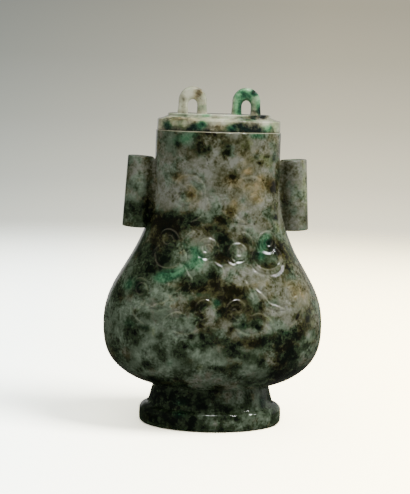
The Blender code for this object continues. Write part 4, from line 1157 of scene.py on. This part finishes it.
def polish_group():
    """Height of the polished surface: soft facets from grinding, fine pits and hair scratches."""
    t, given, out = new_group("hand polish", [
        ("Place", VECTOR, None), ("Pits", VALUE, 0.5)],
        [("Height", VALUE), ("Wear", VALUE)])
    facets = t.noise(given["Place"], 5.5, 1.0, 0.4)
    grain = t.noise(given["Place"], 0.8, 3.0, 0.6)
    stretched = t.node("ShaderNodeMapping", {"Vector": given["Place"],
                                             "Rotation": (0.2, 0.3, 0.7),
                                             "Scale": (1.0, 9.0, 9.0)}).outputs[0]
    scratches = t.noise(stretched, 5.0, 2.0, 0.7)
    height = t.add(t.times(facets, 0.55), t.times(t.times(grain, given["Pits"]), 0.25))
    t.give(out["Height"], t.add(height, t.times(t.step(scratches, 0.62, 0.75), -0.05)))
    t.give(out["Wear"], t.step(t.noise(given["Place"], 9.0, 3.0, 0.6), 0.35, 0.7))
    return t.tree


GROUPS = {}


def use(t, name, **inputs):
    """Adds the named group to a tree with the given inputs, and returns its outputs."""
    made = t.node("ShaderNodeGroup", node_tree=GROUPS[name])
    for key, value in inputs.items():
        t.give(made.inputs[key], value)
    return made.outputs


def stone_shade(t, name, tone, tones):
    """The colour of the named hue at a tone."""
    pale, middle, deep, black = tones[name]
    return use(t, "tones", Tone=tone, Pale=pale, Middle=middle, Deep=deep, Black=black)["Color"]


PALE_SHARE = 0.45        # how far a pale stain moves the tone beside a dark one
HIGHLIGHT_COVER = 0.45        # how much of the painted highlight's pale colour shows
# (hue, gain in strength, size of the tearing's noise, depth of the tearing, cover)
STAIN_HUES = (("rust", 1.0, 300.0, 1.6, 0.7), ("moss", 1.0, 260.0, 1.6, 0.85),
              ("emerald", 1.5, 200.0, 0.95, 0.85))


def jade_material(name, tones, base_tone, contrast, mottle, stain):
    """Mottled jade. One tone, from pale to black, runs through the whole stone: clouds at
    several sizes, pushed darker or paler where the stone is stained. The hue at that tone
    is grey-green or lilac-grey, and turns warm, rusty, mossy or emerald in the stains' own
    places. base_tone is the stone's middle tone, and contrast, mottle and stain are how
    strongly the clouds, the fine mottling and the stains move it."""
    material = bpy.data.materials.new(name)
    material.use_nodes = True
    t = Tree(material.node_tree)
    shader = material.node_tree.nodes["Principled BSDF"]
    place = t.node("ShaderNodeTexCoord").outputs["Object"]
    drift = use(t, "drift", Place=place, Slow=0.0042, Quick=0.0012)["Place"]

    # tone: clouds, curds and grain, and the stains whose edges a noise tears
    clouds = t.noise(drift, 5.0, 3.0, 0.62, 0.15)
    curds = t.noise(place, 2.2, 1.0, 0.6, 0.4)
    grain = t.noise(place, 1.1, 1.0, 0.6)
    tone = t.add(t.times(t.minus(clouds, 0.5), contrast), base_tone)
    fine = t.add(t.times(t.minus(curds, 0.5), 0.72), t.times(t.minus(grain, 0.5), 0.5))
    busy = t.step(t.noise(place, 10.0, 2.0, 0.5), 0.36, 0.64, 0.35, 1.05)
    tone = t.add(tone, t.times(t.times(fine, busy), mottle))
    torn = t.step(t.noise(place, 3.6, 3.0, 0.6, 0.3), 0.32, 0.68, 0.65, 1.35)
    dark, pale, cool = t.attribute("dark"), t.attribute("pale"), t.attribute("cool")
    tone = t.add(tone, t.times(t.times(dark, torn), stain))
    tone = t.minus(tone, t.times(pale, PALE_SHARE * stain))

    # hue: grey-green or lilac-grey, then warmer
    hue = t.noise(drift, 9.0, 3.0, 0.6)
    lilac = t.step(t.add(hue, t.minus(t.times(pale, 0.16), t.times(cool, 0.34))), 0.40, 0.56)
    body = t.colours(lilac, stone_shade(t, "green-grey", tone, tones),
                     stone_shade(t, "lilac-grey", tone, tones))
    warmth = t.step(t.noise(place, 12.0, 3.0, 0.6), 0.53, 0.80)
    warm = t.add(warmth, t.times(t.attribute("rust"), 1.15))
    warm = t.add(warm, t.times(t.minus(hue, 0.5), 0.8))
    warm = t.minus(warm, t.add(t.times(pale, 0.25), t.times(cool, 0.45)))
    warm = t.math("MULTIPLY", warm, 0.9, clamp=True)
    body = t.colours(warm, body, stone_shade(t, "warm", tone, tones))

    # each stain's own hue over that, then the specks and the painted highlight on the rim and
    # crests
    for hue_name, gain, size, tearing, cover in STAIN_HUES:
        mask = use(t, "ragged", Place=drift, Strength=t.times(t.attribute(hue_name), gain),
                   Size=size, Break=tearing)["Mask"]
        body = t.colours(t.times(mask, cover), body, stone_shade(t, hue_name, tone, tones))
    specks = use(t, "speck", Place=drift, Size=460.0, Amount=t.add(t.times(dark, 0.4), 0.42))
    body = t.colours(t.times(specks["Mask"], 0.7), body, tones["speck"])
    # painted highlight: the rim and the carving's crests are painted paler
    body = t.colours(t.times(t.attribute("edge"), HIGHLIGHT_COVER), body, tones["edge"])

    # polish: bright where it is whole, a little duller where it is worn
    polish = use(t, "polish", Place=place, Pits=0.5)
    bump = t.node("ShaderNodeBump", {"Height": polish["Height"], "Strength": 0.7,
                                     "Distance": 0.4 * MM})
    surface = {"Base Color": body, "Normal": bump.outputs[0],
               "Roughness": t.ranged(polish["Wear"], 0.0, 1.0, 0.045, 0.115),
               "IOR": 1.6, "Specular IOR Level": 0.5, "Subsurface Weight": 0.12,
               "Subsurface Radius": (0.6, 1.0, 0.7), "Subsurface Scale": 1.2 * MM}
    for socket, value in surface.items():
        t.give(shader.inputs[socket], value)
    return material


def shades(*four):
    """Four shades, pale to black, from triples in thousandths of linear light."""
    return [(red / 1000.0, green / 1000.0, blue / 1000.0, 1.0) for red, green, blue in four]


JAR_TONES = {
    "green-grey": shades((160, 204, 146), (84, 111, 73), (27, 42, 19), (2, 4, 2)),
    "lilac-grey": shades((188, 196, 162), (114, 119, 82), (44, 46, 18), (5, 5, 2)),
    "warm": shades((238, 218, 124), (130, 118, 52), (49, 44, 12), (6, 6, 1)),
    "rust": shades((305, 230, 115), (165, 122, 48), (62, 44, 12), (8, 6, 1)),
    "moss": shades((225, 262, 110), (116, 142, 50), (44, 57, 14), (4, 6, 1)),
    "emerald": shades((110, 225, 125), (46, 142, 68), (13, 62, 29), (2, 12, 6)),
    "speck": (0.010, 0.008, 0.003, 1.0),
    # edge: the colour of the painted highlight on the rim and the carving's crests
    "edge": (0.50, 0.48, 0.33, 1.0),
}
LID_TONES = {
    "green-grey": shades((430, 480, 330), (250, 300, 190), (70, 105, 65), (7, 15, 12)),
    "lilac-grey": shades((560, 565, 430), (370, 372, 260), (130, 126, 82), (12, 16, 14)),
    "warm": shades((540, 490, 330), (330, 290, 165), (110, 90, 42), (14, 14, 8)),
    "rust": shades((460, 360, 210), (250, 185, 85), (95, 68, 28), (12, 10, 5)),
    "moss": shades((440, 500, 270), (220, 280, 120), (75, 105, 42), (8, 14, 7)),
    "emerald": shades((330, 600, 340), (105, 330, 150), (20, 112, 55), (4, 22, 15)),
    "speck": (0.06, 0.05, 0.025, 1.0),
    # edge: the colour of the painted highlight on the lid's band under the seam
    "edge": (0.60, 0.60, 0.42, 1.0),
}


def finish_piece(thing, material, node, crease):
    """Smooth shading with sharp creases, the material, and the piece's place in the frame."""
    mesh = thing.data
    mesh.materials.clear()
    mesh.materials.append(material)
    mesh.shade_smooth()
    mesh.set_sharp_from_angle(angle=math.radians(crease))
    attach(thing, "root")
    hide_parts(node)


# ---- stage --------------------------------------------------------------------------------
# the floor as the camera sees it, washed out by the exposure, and painted warmer and brighter to
# the right, a painted pool of the key's light
FLOOR_COOL, FLOOR_WARM_LIT = (3.7, 3.95, 3.7, 1.0), (5.6, 4.9, 2.9, 1.0)
FLOOR_PAPER, FLOOR_MIRRORED = (0.28, 0.28, 0.27, 1.0), (0.03, 0.03, 0.03, 1.0)
FLOOR_FADE = (0.36, 1.05)            # metres from the jar between which it turns clear

BACKDROP_SEEN = 4.0
BACKDROP_COOL, BACKDROP_WARM = (0.93, 1.0, 0.92, 1.0), (1.08, 1.0, 0.74, 1.0)
# brightness at places up the backdrop, 0.5 being level with the camera
BACKDROP_STOPS = ((0.0, 1.0), (0.24, 0.95), (0.31, 0.40), (0.382, 0.26), (0.455, 0.18),
                  (0.528, 0.13), (0.594, 0.105), (1.0, 0.09))

# directions of the soft walls that light the jar, and of the panels mirrored in its polish
FRONT_SOFT, REAR_SOFT = (-0.60, -0.78, 0.16), (-0.25, 0.93, 0.25)
RIGHT_PANEL, LEFT_PANEL = (0.75, 0.66, 0.0), (-0.27, 0.961, 0.05)


def make_floor():
    """A wide round floor: rings of points whose radius doubles, all at height 0."""
    turn = np.linspace(0.0, 2.0 * math.pi, 96, endpoint=False)
    radius = np.array([60.0, 120.0, 250.0, 500.0, 1000.0, 2000.0, 4000.0])
    x, y = np.outer(radius, np.cos(turn)), np.outer(radius, np.sin(turn))
    points = np.stack([x, y, np.zeros_like(x)], axis=2)
    ids = numbered(points)
    faces = [face[::-1] for face in quads(ids)] + cap(ids[0], ids.size, True)
    floor = new_mesh("floor", np.vstack([points.reshape(-1, 3), [[0.0, 0.0, 0.0]]]), faces)
    material = bpy.data.materials.new("pale paper")
    material.use_nodes = True
    t = Tree(material.node_tree)
    shader = material.node_tree.nodes["Principled BSDF"]
    shader.inputs["Base Color"].default_value = FLOOR_PAPER
    shader.inputs["Roughness"].default_value = 0.8
    shader.inputs["Specular IOR Level"].default_value = 0.1
    place = t.node("ShaderNodeTexCoord").outputs["Object"]
    # painted light: the floor the camera sees turns warmer and brighter to the right, towards the
    # key
    across = t.node("ShaderNodeSeparateXYZ", {0: place}).outputs["X"]
    sideways = t.ranged(across, -0.12, 0.12)
    bright = t.node("ShaderNodeBsdfDiffuse", {"Color": t.colours(sideways, FLOOR_COOL, FLOOR_WARM_LIT)})
    dim = t.node("ShaderNodeBsdfDiffuse", {"Color": FLOOR_MIRRORED})
    path = t.node("ShaderNodeLightPath").outputs
    plain = t.blend(path["Is Glossy Ray"], shader.outputs[0], dim.outputs[0])
    paper = t.blend(path["Is Camera Ray"], plain, bright.outputs[0])
    far = t.node("ShaderNodeVectorMath", {0: place}, operation="LENGTH").outputs["Value"]
    clear = t.node("ShaderNodeBsdfTransparent").outputs[0]
    surface = t.blend(t.step(far, *FLOOR_FADE), paper, clear)
    t.give(material.node_tree.nodes["Material Output"].inputs["Surface"], surface)
    floor.data.materials.append(material)


def make_world():
    """A backdrop that the camera sees grey above and pale near the floor, brighter to the
    right, and a dim studio round it that lights the jar softly from above and in front."""
    world = bpy.data.worlds.new("studio")
    bpy.context.scene.world = world
    world.use_nodes = True
    t = Tree(world.node_tree)
    room = world.node_tree.nodes["Background"]
    way = t.node("ShaderNodeTexCoord").outputs["Generated"]
    apart = t.node("ShaderNodeSeparateXYZ", {0: way}).outputs
    path = t.node("ShaderNodeLightPath").outputs

    ramp = t.node("ShaderNodeValToRGB")
    for _ in range(len(BACKDROP_STOPS) - 2):
        ramp.color_ramp.elements.new(0.5)
    for element, (place, level) in zip(ramp.color_ramp.elements, BACKDROP_STOPS):
        element.position = place
        element.color = (level, level, level, 1.0)
    t.give(ramp.inputs[0], t.add(t.times(apart["Z"], 1.6), 0.5))
    sideways = t.ranged(apart["X"], -0.15, 0.15)
    tint = t.colours(sideways, BACKDROP_COOL, BACKDROP_WARM)
    backdrop = t.node("ShaderNodeBackground", {
        "Color": t.colours(1.0, ramp.outputs["Color"], tint, "MULTIPLY"),
        "Strength": t.times(t.add(t.times(sideways, 0.45), 0.67), BACKDROP_SEEN)})

    def towards(direction, *limits):
        """Smooth step of how nearly a ray runs in the direction."""
        return t.step(t.vector("DOT_PRODUCT", way, direction)["Value"], *limits)

    soft = t.math("MAXIMUM", towards(FRONT_SOFT, -0.4, 1.0, 0.28, 1.1),
                  towards(REAR_SOFT, 0.15, 1.0, 0.0, 1.15))
    mirrored = t.math("MAXIMUM", towards(RIGHT_PANEL, 0.5, 1.0, 0.04, 0.42),
                      towards(LEFT_PANEL, 0.93, 0.99, 0.0, 0.55))
    strength = t.node("ShaderNodeMix", {0: path["Is Glossy Ray"], 2: soft, 3: mirrored})
    t.give(room.inputs["Strength"], strength.outputs[0])
    room.inputs["Color"].default_value = (1.0, 1.0, 1.0, 1.0)
    both = t.blend(path["Is Camera Ray"], room.outputs[0], backdrop.outputs[0])
    t.give(world.node_tree.nodes["World Output"].inputs["Surface"], both)


def make_light(name, place, target, size, power, colour=(1.0, 1.0, 1.0)):
    """A rectangular soft light in metres, aimed from its place at the target."""
    data = bpy.data.lights.new(name, "AREA")
    data.shape = "RECTANGLE"
    data.size, data.size_y = size
    data.energy = power
    data.color = colour
    light = bpy.data.objects.new(name, data)
    light.location = place
    light.rotation_euler = (Vector(target) - Vector(place)).to_track_quat("-Z", "Y").to_euler()
    bpy.context.scene.collection.objects.link(light)
    return light


def make_lights():
    """A large soft key high on the right, that lights but isn't mirrored in the polish, and
    small lights in front, that give the polish its glints."""
    middle = (0.0, 0.0, 0.08)
    key = make_light("key", (0.68, -0.30, 1.05), middle, (0.5, 0.5), 26.0, (1.0, 0.985, 0.95))
    key.visible_glossy = False
    for glint in (make_light("strip", (0.19, -0.42, 1.00), middle, (0.40, 0.022), 7.0),
                  make_light("spark", (0.37, -0.42, 0.90), middle, (0.03, 0.03), 1.0),
                  make_light("low spark", (0.60, -0.12, 0.75), middle, (0.035, 0.035), 1.2),
                  make_light("side spark", (0.76, -0.26, 0.84), middle, (0.03, 0.03), 1.0)):
        glint.visible_diffuse = False


CAMERA_FAR, CAMERA_HIGH = 0.70, 0.182
CAMERA_ROUND = math.radians(4.0)     # the jar stands turned a little to the camera
CAMERA_DOWN = math.radians(7.1)
CAMERA_ROLL = math.radians(1.75)
CAMERA_ASIDE = 0.0053                # the jar stands right of the view's middle
CAMERA_LENS = 96.05


def make_camera():
    """A camera in front of the jar and a little above the lid, rolled slightly."""
    sideways = Vector((math.cos(CAMERA_ROUND), -math.sin(CAMERA_ROUND), 0.0))
    forward = Vector((math.sin(CAMERA_ROUND), math.cos(CAMERA_ROUND), 0.0))
    ahead = forward * math.cos(CAMERA_DOWN) - Vector((0.0, 0.0, math.sin(CAMERA_DOWN)))
    level_up = sideways.cross(ahead)
    up = level_up * math.cos(CAMERA_ROLL) - sideways * math.sin(CAMERA_ROLL)
    right = sideways * math.cos(CAMERA_ROLL) + level_up * math.sin(CAMERA_ROLL)
    place = Vector((0.0, 0.0, CAMERA_HIGH)) - forward * CAMERA_FAR - sideways * CAMERA_ASIDE
    data = bpy.data.cameras.new("camera")
    data.lens = CAMERA_LENS
    data.clip_start, data.clip_end = 0.05, 60.0
    camera = bpy.data.objects.new("camera", data)
    camera.matrix_world = Matrix((
        (right.x, up.x, -ahead.x, place.x), (right.y, up.y, -ahead.y, place.y),
        (right.z, up.z, -ahead.z, place.z), (0.0, 0.0, 0.0, 1.0)))
    bpy.context.scene.collection.objects.link(camera)
    bpy.context.scene.camera = camera


def main():
    """The stage, the stone's node groups, and then each piece with its stains and its jade."""
    make_camera()
    make_lights()
    make_world()
    make_floor()
    GROUPS.update(drift=drifting_group(), tones=tones_group(), ragged=ragged_group(),
                  speck=speck_group(), polish=polish_group())
    jar = make_jar()
    # the last two heights bound the painted highlight along the rim
    paint_stains_and_light(jar, JAR_STAINS_AND_SHADE, front_depth, RIM_HEIGHT - 0.2, RIM_HEIGHT + 1.0)
    jar_jade = jade_material("jar jade", JAR_TONES, base_tone=0.43, contrast=1.2, mottle=1.1,
                             stain=0.92)
    finish_piece(jar, jar_jade, "jar", CREASE)
    lid = make_lid()
    # the last two heights bound the lid's band of painted highlight, just under the seam
    paint_stains_and_light(lid, LID_STAINS_AND_HIGHLIGHTS, lid_depth, LID_BASE - 1.0, LID_BASE - 0.5)
    lid_jade = jade_material("lid jade", LID_TONES, base_tone=0.34, contrast=1.2, mottle=0.4,
                             stain=1.0)
    finish_piece(lid, lid_jade, "lid", CREASE)


main()
